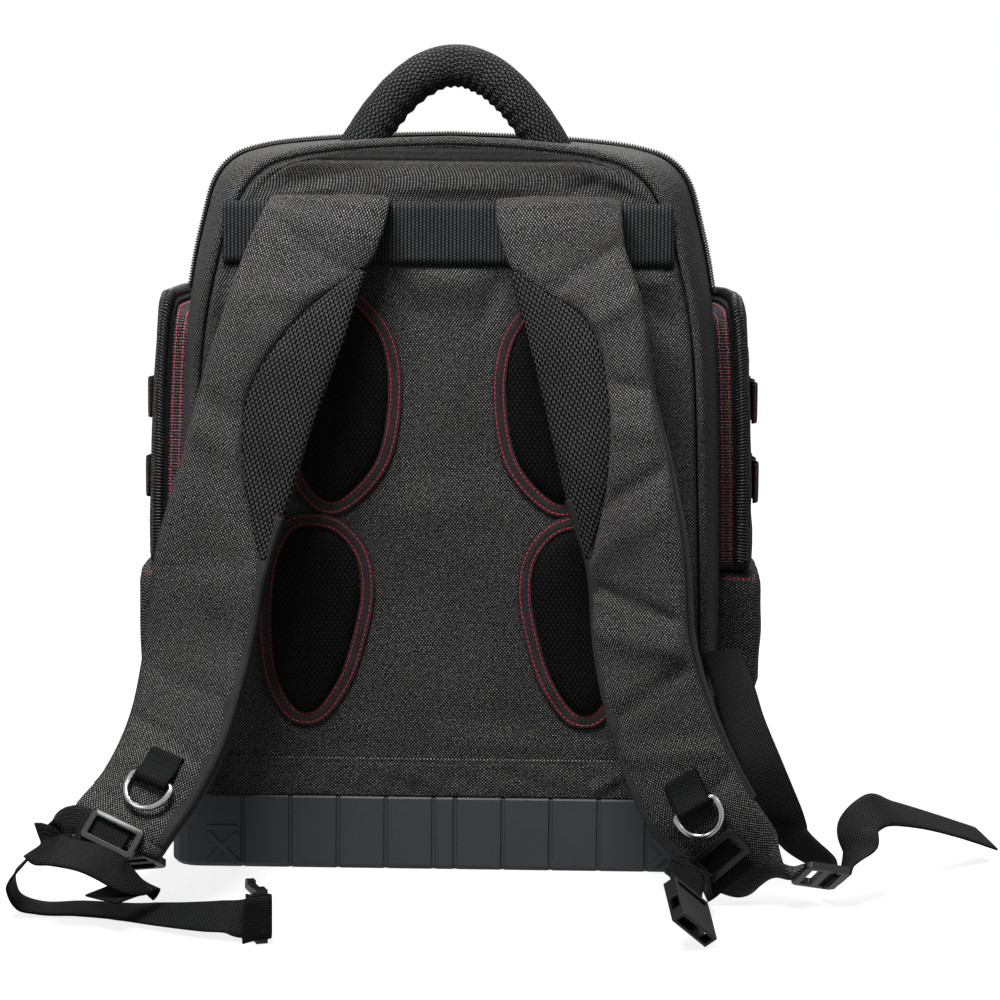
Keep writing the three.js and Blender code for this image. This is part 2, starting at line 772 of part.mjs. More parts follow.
function sideCup(surface) {
  const inner = [
    surface.centre(pocketWall), surface.ring(12, 1.04, pocketWall),
    surface.ring(pocketWall, edgeShare, pocketWall), surface.seat(pocketWall),
  ];
  return cutByBody(bodyFromRings([...inner, ...pocketOuter(surface, 0)]));
}

// A zip that runs up the pocket's rear edge, over its top and down the front edge.
function pocketZip(surface) {
  const shares = [edgeShare - pocketZipWidth / pocketSpread, edgeShare];
  const layers = [gap, gap + pocketZipThickness];
  const [a, b] = shares.map((share) => surface.ring(-layers[0], share, 0));
  const [d, c] = shares.map((share) => surface.ring(-layers[1], share, 0));
  const rings = [];
  const lowest = pocketBottom + pocketBottomCorner;
  for (let i = 0; i < a.length; i++) {
    if (a[i].z > lowest && c[i].z > lowest) rings.push([a[i], b[i], c[i], d[i]]);
  }
  return bodyFromRings(rings);
}

// A row of webbing sewn down between humps, each open as a loop.
function loopRow(surface, side, height) {
  const steps = 6 * loopCount;
  const sewnIn = 3;
  const margin = pocketCorner + 4;
  const rings = [];
  for (let i = 0; i <= steps; i++) {
    const y = surface.back + margin + (surface.front - surface.back - 2 * margin) * (i / steps);
    const hump = Math.abs(Math.sin(Math.PI * loopCount * (i / steps))) ** 0.5;
    const face = sideAt(y, height) + pocketSpread * crownShare;
    const inside = hump < 0.2 ? face - sewnIn : face + loopStandoff * hump;
    const outside = face + loopThickness + loopStandoff * hump;
    const low = height - loopWidth / 2;
    const high = height + loopWidth / 2;
    rings.push([
      new THREE.Vector3(side * inside, y, low), new THREE.Vector3(side * outside, y, low),
      new THREE.Vector3(side * outside, y, high), new THREE.Vector3(side * inside, y, high),
    ]);
  }
  const row = toManifold(bodyFromRings(rings));
  return fromManifold(row.subtract(toManifold(bodyFromRings(pocketOuter(surface, gap)))));
}

for (const [name, side] of [['left', -1], ['right', 1]]) {
  const pocket = pocketSurface(side, {
    bottom: pocketBottom + gap, top: pocketBottom + pocketHeight, slope: pocketSlope,
    spread: pocketSpread, narrow: 1, bottomCorner: pocketBottomCorner,
  });
  const pouch = pocketSurface(side, {
    bottom: pouchBottom, top: pocketBottom - gap, slope: 0,
    spread: pouchSpread, narrow: 0.35, bottomCorner: pouchCorner,
  });
  addPiece(`side_pocket_${name}`, sideCup(pocket), 'weave');
  addPiece(`side_pouch_${name}`, sideCup(pouch), 'weave');
  addPiece(`pocket_zip_${name}`, pocketZip(pocket), 'zip');
  loopHeights.forEach((height, level) => {
    addPiece(`side_loops_${level === 0 ? 'lower' : 'upper'}_${name}`, loopRow(pocket, side, height), 'web');
  });
}

// Shoulder straps. Each row is a station from the band down to the adjuster: x in shares of half the
// panel's width, ahead of the band in shares of the bag's depth, z in shares of its height, width,
// thickness and the mesh inset in shares of the strap's, turn in degrees about the strap.
const strapTables = {
  left: [
    { x: -0.43, ahead: 0, z: 0.911, width: 0.973, thick: 0.5, mesh: 0, turn: 0 },
    { x: -0.43, ahead: 0.05, z: 0.911, width: 0.973, thick: 0.56, mesh: 0, turn: 0 },
    { x: -0.447, ahead: 0.093, z: 0.887, width: 0.973, thick: 0.63, mesh: 0, turn: 0 },
    { x: -0.508, ahead: 0.122, z: 0.835, width: 0.98, thick: 0.75, mesh: 0.1, turn: 0 },
    { x: -0.579, ahead: 0.17, z: 0.756, width: 1.0, thick: 0.94, mesh: 0.42, turn: 0 },
    { x: -0.669, ahead: 0.217, z: 0.653, width: 0.96, thick: 1, mesh: 0.57, turn: 0 },
    { x: -0.747, ahead: 0.255, z: 0.549, width: 0.93, thick: 1, mesh: 0.38, turn: 3 },
    { x: -0.83, ahead: 0.284, z: 0.444, width: 0.92, thick: 1, mesh: 0.02, turn: 8 },
    { x: -0.876, ahead: 0.322, z: 0.327, width: 0.9, thick: 1, mesh: 0, turn: 14 },
    { x: -0.932, ahead: 0.42, z: 0.229, width: 0.89, thick: 0.95, mesh: 0, turn: 18 },
    { x: -1.02, ahead: 0.5, z: 0.16, width: 0.85, thick: 0.85, mesh: 0, turn: 14 },
    { x: -1.117, ahead: 0.565, z: 0.113, width: 0.82, thick: 0.72, mesh: 0, turn: 5 },
    { x: -1.148, ahead: 0.585, z: 0.09, width: 0.78, thick: 0.6, mesh: 0, turn: 0 },
    { x: -1.12, ahead: 0.525, z: 0.074, width: 0.45, thick: 0.4, mesh: 0, turn: 0 },
  ],
  right: [
    { x: 0.405, ahead: 0, z: 0.911, width: 1.013, thick: 0.5, mesh: 0, turn: 0 },
    { x: 0.405, ahead: 0.05, z: 0.911, width: 1.02, thick: 0.56, mesh: 0, turn: 0 },
    { x: 0.412, ahead: 0.093, z: 0.889, width: 1.0, thick: 0.63, mesh: 0, turn: 0 },
    { x: 0.44, ahead: 0.122, z: 0.838, width: 0.95, thick: 0.75, mesh: 0.06, turn: 0 },
    { x: 0.506, ahead: 0.17, z: 0.76, width: 0.96, thick: 0.94, mesh: 0.48, turn: 4 },
    { x: 0.559, ahead: 0.217, z: 0.657, width: 0.88, thick: 1, mesh: 0.52, turn: 10 },
    { x: 0.627, ahead: 0.255, z: 0.554, width: 0.9, thick: 1, mesh: 0.37, turn: 18 },
    { x: 0.698, ahead: 0.274, z: 0.45, width: 0.86, thick: 1, mesh: 0.03, turn: 28 },
    { x: 0.73, ahead: 0.293, z: 0.332, width: 0.86, thick: 1, mesh: 0, turn: 30 },
    { x: 0.812, ahead: 0.335, z: 0.224, width: 0.87, thick: 0.95, mesh: 0, turn: 24 },
    { x: 0.945, ahead: 0.38, z: 0.125, width: 0.86, thick: 0.85, mesh: 0, turn: 18 },
    { x: 1.145, ahead: 0.385, z: 0.054, width: 0.68, thick: 0.65, mesh: 0, turn: 18 },
    { x: 1.295, ahead: 0.365, z: 0.044, width: 0.35, thick: 0.4, mesh: 0, turn: 14 },
  ],
};
const strapRoot = panelFace - gap - bandThickness - gap;
const acrossHint = new THREE.Vector3(1, 0, 0);
const meshLeast = 0.06;
const strapSteps = 28;

function placed(row) {
  return { ...row, x: row.x * halfPanel, y: strapRoot - row.ahead * bagDepth, z: row.z * bagHeight };
}

// A strap's frame at a share of its length, with its width, thickness and mesh inset in millimetres.
function strapRoute(name) {
  const route = smoothTable(strapTables[name].map(placed), ['x', 'y', 'z']);
  return (share) => {
    const frame = ribbonFrame(route, share, acrossHint);
    const { row } = frame;
    const mesh = row.mesh > meshLeast ? row.mesh * strapWidth : 0;
    return { ...frame, width: row.width * strapWidth, thick: row.thick * strapThickness, mesh };
  };
}

// Fabric body of a strap: a padded section from its outer edge to the mesh inset or the inner edge.
function strapFabric(frameAt, inner) {
  const rings = [];
  for (let i = 0; i <= strapSteps; i++) {
    const frame = frameAt(i / strapSteps);
    const half = frame.width / 2;
    const edge = half - frame.mesh;
    const round = Math.min(0.2 * frame.width, (half + edge) * 0.4);
    const t = frame.thick / 2;
    const section = [
      [-half, 0], [-half + round, -0.85 * t], [(edge - half) / 2, -t], [edge - round, -0.85 * t],
      [edge, 0], [edge - round, 0.85 * t], [(edge - half) / 2, t], [-half + round, 0.85 * t],
    ];
    rings.push(sectionRing(frame, section.map(([across, out]) => [inner * across, out])));
  }
  return bodyFromRings(rings);
}

// Mesh inset on the strap's inner edge, where the fabric is cut back in an arc.
function strapMesh(frameAt, inner) {
  const rings = [];
  for (let i = 0; i <= strapSteps; i++) {
    const frame = frameAt(i / strapSteps);
    if (frame.mesh === 0) continue;
    const half = frame.width / 2;
    const start = half - frame.mesh + softGap;
    const middle = (start + half) / 2;
    const t = frame.thick / 2;
    const section = [
      [start, -0.4 * t], [middle, -0.55 * t], [half, -0.2 * t], [half, 0.2 * t],
      [middle, 0.55 * t], [start, 0.4 * t],
    ];
    rings.push(sectionRing(frame, section.map(([across, out]) => [inner * across, out])));
  }
  return bodyFromRings(rings);
}

// The share of a strap's length at a height, below its fold, and one a distance further down.
function shareAtHeight(frameAt, height) {
  let low = 0.2;
  let high = 1;
  for (let i = 0; i < 24; i++) {
    const middle = (low + high) / 2;
    if (frameAt(middle).point.z > height) low = middle;
    else high = middle;
  }
  return low;
}

function shareFurther(frameAt, share, distance) {
  const step = 0.001 * Math.sign(distance);
  let travelled = 0;
  let at = share;
  while (travelled < Math.abs(distance)) {
    travelled += frameAt(at).point.distanceTo(frameAt(at + step).point);
    at += step;
  }
  return at;
}

function setFrame(mesh, origin, across, down) {
  const up = down.clone().negate();
  up.addScaledVector(across, -up.dot(across)).normalize();
  const out = new THREE.Vector3().crossVectors(across, up);
  mesh.applyMatrix4(new THREE.Matrix4().makeBasis(across, up, out).setPosition(origin));
}

// Webbing tab whose lower end is folded round the ring's bar.
function ringTab(frameAt, share, lift) {
  const radius = ringWire + ringPlay + tabThickness / 2;
  const layers = [gap + tabThickness / 2, 2 * gap + 1.5 * tabThickness];
  const section = flatSection(tabWidth, tabThickness);
  const rings = [];
  for (const back of [tabLength, tabLength / 2, 2]) {
    const frame = frameAt(shareFurther(frameAt, share, -back));
    const point = frame.point.clone().addScaledVector(frame.out, frame.thick / 2 + layers[0]);
    rings.push(sectionRing({ point, across: frame.across, out: frame.out }, section));
  }
  const base = frameAt(share);
  const bar = base.point.clone().addScaledVector(base.out, lift);
  for (let k = 0; k <= 6; k++) {
    const angle = -Math.PI / 2 + Math.PI * (k / 6);
    const way = base.along.clone().multiplyScalar(Math.cos(angle)).addScaledVector(base.out, Math.sin(angle));
    const point = bar.clone().addScaledVector(way, radius);
    rings.push(sectionRing({ point, across: base.across, out: way.clone().negate() }, section));
  }
  for (const [back, lifted] of [[5, 0.6], [9, 0.15], [tabLength - 1, 0]]) {
    const frame = frameAt(shareFurther(frameAt, share, -back));
    const height = frame.thick / 2 + layers[1] + lifted * radius;
    const point = frame.point.clone().addScaledVector(frame.out, height);
    rings.push(sectionRing({ point, across: frame.across, out: frame.out.clone().negate() }, section));
  }
  return bodyFromRings(rings);
}

// D-ring in its own frame: the bar on the X axis, the bow towards -Y.
function dRing() {
  const half = ringSpan / 2;
  const path = [new THREE.Vector3(-half, 0, 0), new THREE.Vector3(half, 0, 0)];
  const bowSteps = 10;
  for (let k = 0; k <= bowSteps; k++) {
    const angle = -Math.PI * (k / bowSteps);
    path.push(new THREE.Vector3(half * Math.cos(angle), -ringArm + half * Math.sin(angle), 0));
  }
  const sides = 6;
  const rings = path.map((point, i) => {
    const before = path[(i + path.length - 1) % path.length];
    const after = path[(i + 1) % path.length];
    const into = point.clone().sub(before).normalize();
    const away = after.clone().sub(point).normalize();
    const along = into.clone().add(away).normalize();
    const out = new THREE.Vector3(0, 0, 1);
    const across = new THREE.Vector3().crossVectors(out, along);
    const mitre = 1 / Math.max(along.dot(away), 0.6);
    const section = [];
    for (let k = 0; k < sides; k++) {
      const turn = (k / sides) * 2 * Math.PI;
      section.push([ringWire * mitre * Math.cos(turn), ringWire * Math.sin(turn)]);
    }
    return sectionRing({ point, across, out }, section);
  });
  return bodyFromLoop(rings);
}

// A flat plastic frame with slots across it, in its own frame and centred on its thickness.
function slottedFrame(length, depth, thickness, bar, slots) {
  const outline = (halfX, halfY, corner) => [
    [-halfX + corner, -halfY], [halfX - corner, -halfY], [halfX, -halfY + corner],
    [halfX, halfY - corner], [halfX - corner, halfY], [-halfX + corner, halfY],
    [-halfX, halfY - corner], [-halfX, -halfY + corner],
  ].map(([x, y]) => new THREE.Vector2(x, y));
  const shape = new THREE.Shape(outline(length / 2, depth / 2, bar / 2));
  const slot = (depth - bar * (slots + 1)) / slots;
  for (let k = 0; k < slots; k++) {
    const middle = -depth / 2 + bar + slot / 2 + k * (slot + bar);
    const hole = outline(length / 2 - bar, slot / 2, 1).map((p) => p.clone().setY(p.y + middle));
    shape.holes.push(new THREE.Path(hole.reverse()));
  }
  const geometry = new THREE.ExtrudeGeometry(shape, { depth: thickness, bevelEnabled: false });
  geometry.translate(0, 0, -thickness / 2);
  return geometry;
}

const dRingHeights = { left: 75, right: 62 };
const dRingShifts = { left: 5, right: 1 };
const slideHeights = { left: 46, right: 38 };
const slideShifts = { left: 1, right: -4 };
const sternumDrop = 5;

// The strap's frames, moved across the strap by a distance.
function shiftedAcross(frameAt, distance) {
  return (share) => {
    const frame = frameAt(share);
    return { ...frame, point: frame.point.clone().addScaledVector(frame.across, distance) };
  };
}

const straps = {};
for (const [name, inner] of [['left', 1], ['right', -1]]) {
  const frameAt = strapRoute(name);
  addPiece(`shoulder_strap_${name}`, strapFabric(frameAt, inner), 'weave');
  addPiece(`strap_mesh_${name}`, strapMesh(frameAt, inner), 'mesh');

  const ringShare = shareAtHeight(frameAt, dRingHeights[name]);
  const ringAt = shiftedAcross(frameAt, dRingShifts[name]);
  const base = ringAt(ringShare);
  const lift = base.thick / 2 + gap + tabThickness + ringPlay + ringWire;
  const bar = base.point.clone().addScaledVector(base.out, lift);
  addPiece(`d_ring_tab_${name}`, ringTab(ringAt, ringShare, lift), 'web');
  const bowEnd = ringAt(shareFurther(frameAt, ringShare, ringArm + ringSpan / 2));
  const rest = bowEnd.point.clone()
    .addScaledVector(bowEnd.out, bowEnd.thick / 2 + softGap + 2 * ringWire);
  const ring = addPiece(`d_ring_${name}`, dRing(), 'chrome');
  setFrame(ring, bar, base.across, rest.sub(bar));

  const slideAt = shiftedAcross(frameAt, slideShifts[name])(shareAtHeight(frameAt, slideHeights[name]));
  const slide = addPiece(`sternum_ring_${name}`,
    slottedFrame(slideLength, slideDepth, slideThickness, slideBar, 1), 'plastic');
  const underWeb = slideAt.thick / 2 + sewnGap + sternumThickness / 2;
  const slideLift = underWeb + sternumThickness / 2 + gap + slideThickness / 2;
  const slideCentre = slideAt.point.clone().addScaledVector(slideAt.out, slideLift);
  setFrame(slide, slideCentre, slideAt.across, slideAt.along);

  const end = frameAt(1);
  const lock = addPiece(`ladder_lock_${name}`,
    slottedFrame(lockLength, lockDepth, lockThickness, lockBar, 2), 'plastic');
  const lockCentre = end.point.clone().addScaledVector(end.along, lockDepth / 2 + gap);
  setFrame(lock, lockCentre, end.across, end.along);
  straps[name] = { slideAt, underWeb, end, lockCentre };
}

// Webbing stations: across in shares of half the panel's width, ahead of the band in shares of the
// bag's depth, up in shares of its height, and the way the width points (right, back, up).
function station({ x, ahead, z, wide }) {
  const point = new THREE.Vector3(x * halfPanel, strapRoot - ahead * bagDepth, z * bagHeight);
  return [point, new THREE.Vector3(...wide)];
}

// Adjuster webbing: from the foot of the panel's welt to the outer slot of the ladder lock, and from
// the far side of the lock's last bar to its free end.
const adjusterTables = {
  left: [
    { x: -1.05, ahead: 0.056, z: 0.258, wide: [1, 0, 0] },
    { x: -1.075, ahead: 0.163, z: 0.184, wide: [1, 0, 0] },
    { x: -1.085, ahead: 0.268, z: 0.12, wide: [1, 0, 0] },
    { x: -1.085, ahead: 0.36, z: 0.083, wide: [1, -0.1, 0] },
  ],
  right: [
    { x: 1.07, ahead: 0.14, z: 0.268, wide: [1, 0, 0] },
    { x: 1.103, ahead: 0.225, z: 0.229, wide: [1, 0, 0.1] },
    { x: 1.17, ahead: 0.29, z: 0.172, wide: [1, -0.05, 0.2] },
    { x: 1.235, ahead: 0.295, z: 0.118, wide: [0.95, -0.2, 0.2] },
    { x: 1.285, ahead: 0.28, z: 0.082, wide: [0.7, -0.6, 0.35] },
  ],
};
const adjusterTail = [
  { x: 1.53, ahead: 0.26, z: 0.066, wide: [0.55, -0.75, 0] },
  { x: 1.525, ahead: 0.2, z: 0.088, wide: [0.75, -0.5, -0.3] },
  { x: 1.6, ahead: 0.131, z: 0.104, wide: [0.4, -0.6, -0.6] },
  { x: 1.723, ahead: 0.012, z: 0.087, wide: [0.55, -0.65, -0.5] },
  { x: 1.896, ahead: -0.13, z: 0.058, wide: [0.55, -0.7, -0.42] },
  { x: 2.076, ahead: -0.259, z: 0.026, wide: [0.55, -0.7, -0.42] },
];
const seamHeight = 0.308;     // where the adjuster leaves the welt, as a share of the bag's height
const seamOut = 1.025;        // and how far out, as a share of half the panel's width
const turnIn = 1.6;           // how far before the lock the webbing turns in, in bends
const adjusterSteps = 20;
const tailSteps = 18;

function lockPlace({ end, lockCentre }, along, out) {
  const point = lockCentre.clone().addScaledVector(end.along, along).addScaledVector(end.out, out);
  return [point, end.across];
}

for (const [name, side] of [['left', -1], ['right', 1]]) {
  const strap = straps[name];
  const start = new THREE.Vector3(side * halfPanel * seamOut,
    panelFace - gap - adjusterThickness / 2, seamHeight * bagHeight);
  const slot = lockBar / 2 + (lockDepth - 3 * lockBar) / 4;
  const bend = lockThickness / 2 + adjusterThickness;
  addPiece(`adjuster_web_${name}`, webbing([
    [start, acrossHint], ...adjusterTables[name].map(station),
    lockPlace(strap, slot, -bend * turnIn), lockPlace(strap, slot, 0), lockPlace(strap, slot, bend),
  ], adjusterWidth, adjusterThickness, adjusterSteps), 'web');
}
const beyond = lockDepth / 2 + softGap + adjusterThickness / 2;
const under = -(lockThickness / 2 + adjusterThickness);
addPiece('adjuster_tail_right', webbing([
  lockPlace(straps.right, beyond, 0), lockPlace(straps.right, beyond + 1, under), ...adjusterTail.map(station),
], adjusterWidth, adjusterThickness, tailSteps), 'web');

// Buckle halves, each in its own frame: X across, Y from the webbing to the mouth or the prongs.
function box(sizeX, sizeY, sizeZ, x, y, z) {
  const geometry = new THREE.BoxGeometry(sizeX, sizeY, sizeZ);
  geometry.translate(x, y, z);
  return toManifold(geometry);
}

const buckleWall = 2;
const webSlot = 3.8;
const slotPlace = 4.2;

function femaleBuckle() {
  const room = buckleThickness - 2 * buckleWall;
  const middle = buckleLength / 2;
  return fromManifold(box(buckleWidth, buckleLength, buckleThickness, 0, middle, 0)
    .subtract(box(buckleWidth - 2 * buckleWall, middle * 1.4, room, 0, middle * 1.31, 0))
    .subtract(box(buckleWidth - 2 * buckleWall, webSlot, buckleThickness * 2, 0, slotPlace, 0))
    .subtract(box(buckleWidth * 2, buckleLength * 0.28, room, 0, middle * 1.2, 0)));
}

function maleBuckle() {
  const prong = 4;
  const yoke = slotPlace * 2.2;
  const yokeThickness = buckleThickness * 0.75;
  const thin = buckleThickness * 0.55;
  const reach = buckleLength * 1.05;
  let solid = box(buckleWidth, yoke, yokeThickness, 0, yoke / 2, 0)
    .subtract(box(buckleWidth - 2 * buckleWall, webSlot, buckleThickness * 2, 0, slotPlace, 0));
  for (const side of [-1, 1]) {
    const x = side * (buckleWidth / 2 - prong);
    solid = solid.add(box(prong, reach - yoke + 2, thin, x, (reach + yoke) / 2 - 1, 0));
    solid = solid.add(box(prong, prong * 1.5, thin, x + side * prong * 0.45, reach - prong, 0));
  }
  return fromManifold(solid.add(box(prong, reach - yoke, thin * 0.8, 0, (reach + yoke) / 2 - 1, 0)));
}

// Frame of a buckle whose slot lies at a point, with its length and its width along the given ways,
// lifted so that its lowest corner stays clear of the floor.
function setBuckle(mesh, slotAt, length, width) {
  const y = length.clone().normalize();
  const x = width.clone().addScaledVector(y, -width.dot(y)).normalize();
  const z = new THREE.Vector3().crossVectors(x, y);
  const origin = slotAt.clone().addScaledVector(y, -slotPlace);
  mesh.applyMatrix4(new THREE.Matrix4().makeBasis(x, y, z).setPosition(origin));
  mesh.updateMatrixWorld();
  const lowest = new THREE.Box3().setFromObject(mesh).min.z;
  mesh.position.z += Math.max(gap - lowest, 0);
  mesh.updateMatrixWorld();
  return (along, out) => [new THREE.Vector3(0, along, out).applyMatrix4(mesh.matrixWorld), x];
}

const [maleSlot] = station({ x: -0.585, ahead: 0.85, z: 0.034, wide: [0, 0, 0] });
const maleAt = setBuckle(addPiece('buckle_male', maleBuckle(), 'plastic'), maleSlot,
  new THREE.Vector3(-0.33, 0.94, 0), new THREE.Vector3(0, 0, -1));
const [femaleSlot] = station({ x: 0.873, ahead: 0.78, z: 0.052, wide: [0, 0, 0] });
const femaleAt = setBuckle(addPiece('buckle_female', femaleBuckle(), 'plastic'), femaleSlot,
  new THREE.Vector3(0.15, -0.85, -0.5), new THREE.Vector3(0.6, 0.6, -0.53));

// Sternum webbing: sewn to the strap under the plastic ring, and led off its outer end.
const sternumTables = {
  left: [
    { x: -1.325, ahead: 0.64, z: 0.095, wide: [-0.3, -0.75, -0.6] },
    { x: -1.358, ahead: 0.648, z: 0.1, wide: [-0.1, -0.8, -0.55] },
    { x: -1.373, ahead: 0.66, z: 0.102, wide: [0, -0.85, -0.5] },
    { x: -1.352, ahead: 0.69, z: 0.098, wide: [0, -0.88, -0.45] },
    { x: -1.301, ahead: 0.72, z: 0.0975, wide: [0, -0.9, -0.42] },
    { x: -1.21, ahead: 0.73, z: 0.0925, wide: [0, -0.87, -0.48] },
    { x: -1.13, ahead: 0.727, z: 0.0805, wide: [0, -0.8, -0.6] },
    { x: -1.074, ahead: 0.72, z: 0.0665, wide: [0.3, -0.6, -0.65] },
    { x: -1.03, ahead: 0.665, z: 0.059, wide: [0.6, -0.3, -0.5] },
    { x: -1.035, ahead: 0.65, z: 0.048, wide: [0.95, 0, -0.2] },
    { x: -1.075, ahead: 0.69, z: 0.046, wide: [0.9, -0.4, -0.05] },
    { x: -1.145, ahead: 0.77, z: 0.043, wide: [0.87, -0.5, -0.02] },
  ],
  right: [
    { x: 0.89, ahead: 0.548, z: 0.075, wide: [0.7, 0.3, -0.5] },
    { x: 0.886, ahead: 0.579, z: 0.067, wide: [0.75, 0.45, -0.4] },
    { x: 0.872, ahead: 0.655, z: 0.0596, wide: [0.65, 0.55, -0.5] },
  ],
};
const sternumSteps = 30;
const runSteps = 48;
const sewnAcross = [9, -3, -14, -23];   // across the strap, from the sewn end outwards
const sternumEnds = { left: [], right: [femaleAt(-8, 0.5), femaleAt(-0.9, 0)] };
for (const name of ['left', 'right']) {
  const { slideAt, underWeb } = straps[name];
  const sewn = sewnAcross.map((across) => [
    slideAt.point.clone().addScaledVector(slideAt.across, across)
      .addScaledVector(slideAt.along, sternumDrop).addScaledVector(slideAt.out, underWeb),
    slideAt.along,
  ]);
  const stations = [...sewn, ...sternumTables[name].map(station), ...sternumEnds[name]];
  addPiece(`sternum_web_${name}`, webbing(stations, sternumWidth, sternumThickness, sternumSteps), 'web');
}

// The long run of the left sternum webbing, from the loop down to the floor, along it, and round the
// bar of the male half of the buckle.
const sternumRun = [
  { x: -1.407, ahead: 0.6135, z: 0.087, wide: [0, -1, 0] },
  { x: -1.436, ahead: 0.628, z: 0.0755, wide: [0, -1, 0] },
  { x: -1.49, ahead: 0.608, z: 0.047, wide: [0, -1, 0] },
  { x: -1.472, ahead: 0.579, z: 0.018, wide: [0, -1, 0] },
  { x: -1.406, ahead: 0.56, z: 0.006, wide: [0, -1, -0.03] },
  { x: -1.262, ahead: 0.57, z: 0.007, wide: [0, -1, -0.08] },
  { x: -1.112, ahead: 0.605, z: 0.0085, wide: [-0.43, -0.88, -0.12] },
  { x: -1.031, ahead: 0.655, z: 0.0135, wide: [-0.6, -0.76, -0.22] },
  { x: -0.917, ahead: 0.712, z: 0.018, wide: [-0.5, -0.8, -0.33] },
  { x: -0.768, ahead: 0.779, z: 0.0245, wide: [-0.43, -0.75, -0.5] },
  { x: -0.67, ahead: 0.815, z: 0.029, wide: [-0.35, -0.7, -0.63] },
];
// Round the buckle's bar: along the buckle and out from it.
const wrap = [[4.6, -6], [4.2, -2], [4, 2], [2.8, 4.8], [0.3, 5.2], [-1.5, 2.6], [-1.8, -1.5], [-4.5, -8], [-8, -13]];
addPiece('sternum_run_left', webbing([...sternumRun.map(station), ...wrap.map(([y, z]) => maleAt(y, z))],
  sternumWidth, sternumThickness, runSteps), 'web');

export default backpack;
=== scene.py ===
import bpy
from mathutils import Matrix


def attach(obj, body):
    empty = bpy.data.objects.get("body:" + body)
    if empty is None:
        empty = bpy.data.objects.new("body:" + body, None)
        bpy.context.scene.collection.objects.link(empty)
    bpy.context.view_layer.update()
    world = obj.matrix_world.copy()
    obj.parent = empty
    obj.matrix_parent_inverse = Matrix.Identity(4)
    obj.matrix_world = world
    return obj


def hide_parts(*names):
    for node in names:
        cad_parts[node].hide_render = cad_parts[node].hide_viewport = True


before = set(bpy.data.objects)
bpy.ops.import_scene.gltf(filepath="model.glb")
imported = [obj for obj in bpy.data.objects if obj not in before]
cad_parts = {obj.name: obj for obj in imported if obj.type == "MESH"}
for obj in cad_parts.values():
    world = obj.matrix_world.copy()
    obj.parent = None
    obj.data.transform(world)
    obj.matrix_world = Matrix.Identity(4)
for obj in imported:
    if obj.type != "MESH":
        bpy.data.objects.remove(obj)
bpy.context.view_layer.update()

import math

import bpy
import numpy as np
from mathutils import Matrix, Vector

# Camera, floor and light
# A pale studio floor with large soft lights, and a long lens that looks slightly down at the side
# that is worn against the back.
target = Vector((0.033, -0.1017, 0.2327))
camera_distance = 1.9
field_width = 0.616
pitch, azimuth, roll = (math.radians(angle) for angle in (6.9, 1.2, 0.5))
level = Vector((math.cos(azimuth), math.sin(azimuth), 0))
back = Vector((math.sin(azimuth) * math.cos(pitch), -math.cos(azimuth) * math.cos(pitch), math.sin(pitch)))
upright = back.cross(level)
camera_right = level * math.cos(roll) + upright * math.sin(roll)
camera_up = upright * math.cos(roll) - level * math.sin(roll)
camera_turn = Matrix((camera_right, camera_up, back)).transposed().to_4x4()
camera_data = bpy.data.cameras.new("studio_camera")
camera_data.lens = camera_data.sensor_width * camera_distance / field_width
camera = bpy.data.objects.new("studio_camera", camera_data)
camera.matrix_world = Matrix.Translation(target + back * camera_distance) @ camera_turn
bpy.context.collection.objects.link(camera)
bpy.context.scene.camera = camera
bpy.context.scene.view_settings.view_transform = "Standard"


def studio_light(name, place, size, power):
    """A square area light at a place, facing the middle of the bag."""
    data = bpy.data.lights.new(name, "AREA")
    data.size = size
    data.energy = power
    lamp = bpy.data.objects.new(name, data)
    lamp.location = place
    lamp.rotation_euler = (Vector((0, 0, 0.2)) - Vector(place)).to_track_quat("-Z", "Y").to_euler()
    bpy.context.collection.objects.link(lamp)


studio_light("light_front", (-0.22, -0.72, 1.38), 0.5, 25)
studio_light("light_left", (-1.7, -1.5, 1.3), 0.6, 6)
studio_light("light_right", (1.8, -1.4, 1.2), 0.6, 3)
studio_light("light_rear", (0.1, 1.1, 1.9), 1.0, 34)
world = bpy.data.worlds.new("studio")
world.use_nodes = True
sky = world.node_tree
backdrop = sky.nodes["Background"]
backdrop.inputs["Color"].default_value = (1, 1, 1, 1)
seen = sky.nodes.new("ShaderNodeLightPath")
glow = sky.nodes.new("ShaderNodeMapRange")
glow.inputs["To Min"].default_value = 0.07
glow.inputs["To Max"].default_value = 1.0
shine = sky.nodes.new("ShaderNodeMath")
shine.operation = "MULTIPLY_ADD"
shine.inputs[1].default_value = 0.45
sky.links.new(seen.outputs["Is Glossy Ray"], shine.inputs[0])
sky.links.new(seen.outputs["Is Camera Ray"], shine.inputs[2])
sky.links.new(shine.outputs[0], glow.inputs["Value"])
sky.links.new(glow.outputs["Result"], backdrop.inputs["Strength"])
bpy.context.scene.world = world

floor_mesh = bpy.data.meshes.new("studio_floor")
floor_mesh.from_pydata([(-6, -6, 0), (6, -6, 0), (6, 6, 0), (-6, 6, 0)], [], [(0, 1, 2, 3)])
studio_floor = bpy.data.objects.new("studio_floor", floor_mesh)
bpy.context.collection.objects.link(studio_floor)
floor_paint = bpy.data.materials.new("floor_paint")
floor_paint.use_nodes = True
floor_shader = floor_paint.node_tree.nodes["Principled BSDF"]
floor_shader.inputs["Base Color"].default_value = (0.3, 0.3, 0.3, 1)
floor_shader.inputs["Roughness"].default_value = 0.9
floor_shader.inputs["Emission Color"].default_value = (1, 1, 1, 1)
floor_place = floor_paint.node_tree.nodes.new("ShaderNodeTexCoord")
floor_reach = floor_paint.node_tree.nodes.new("ShaderNodeVectorMath")
floor_reach.operation = "LENGTH"
floor_fade = floor_paint.node_tree.nodes.new("ShaderNodeMapRange")
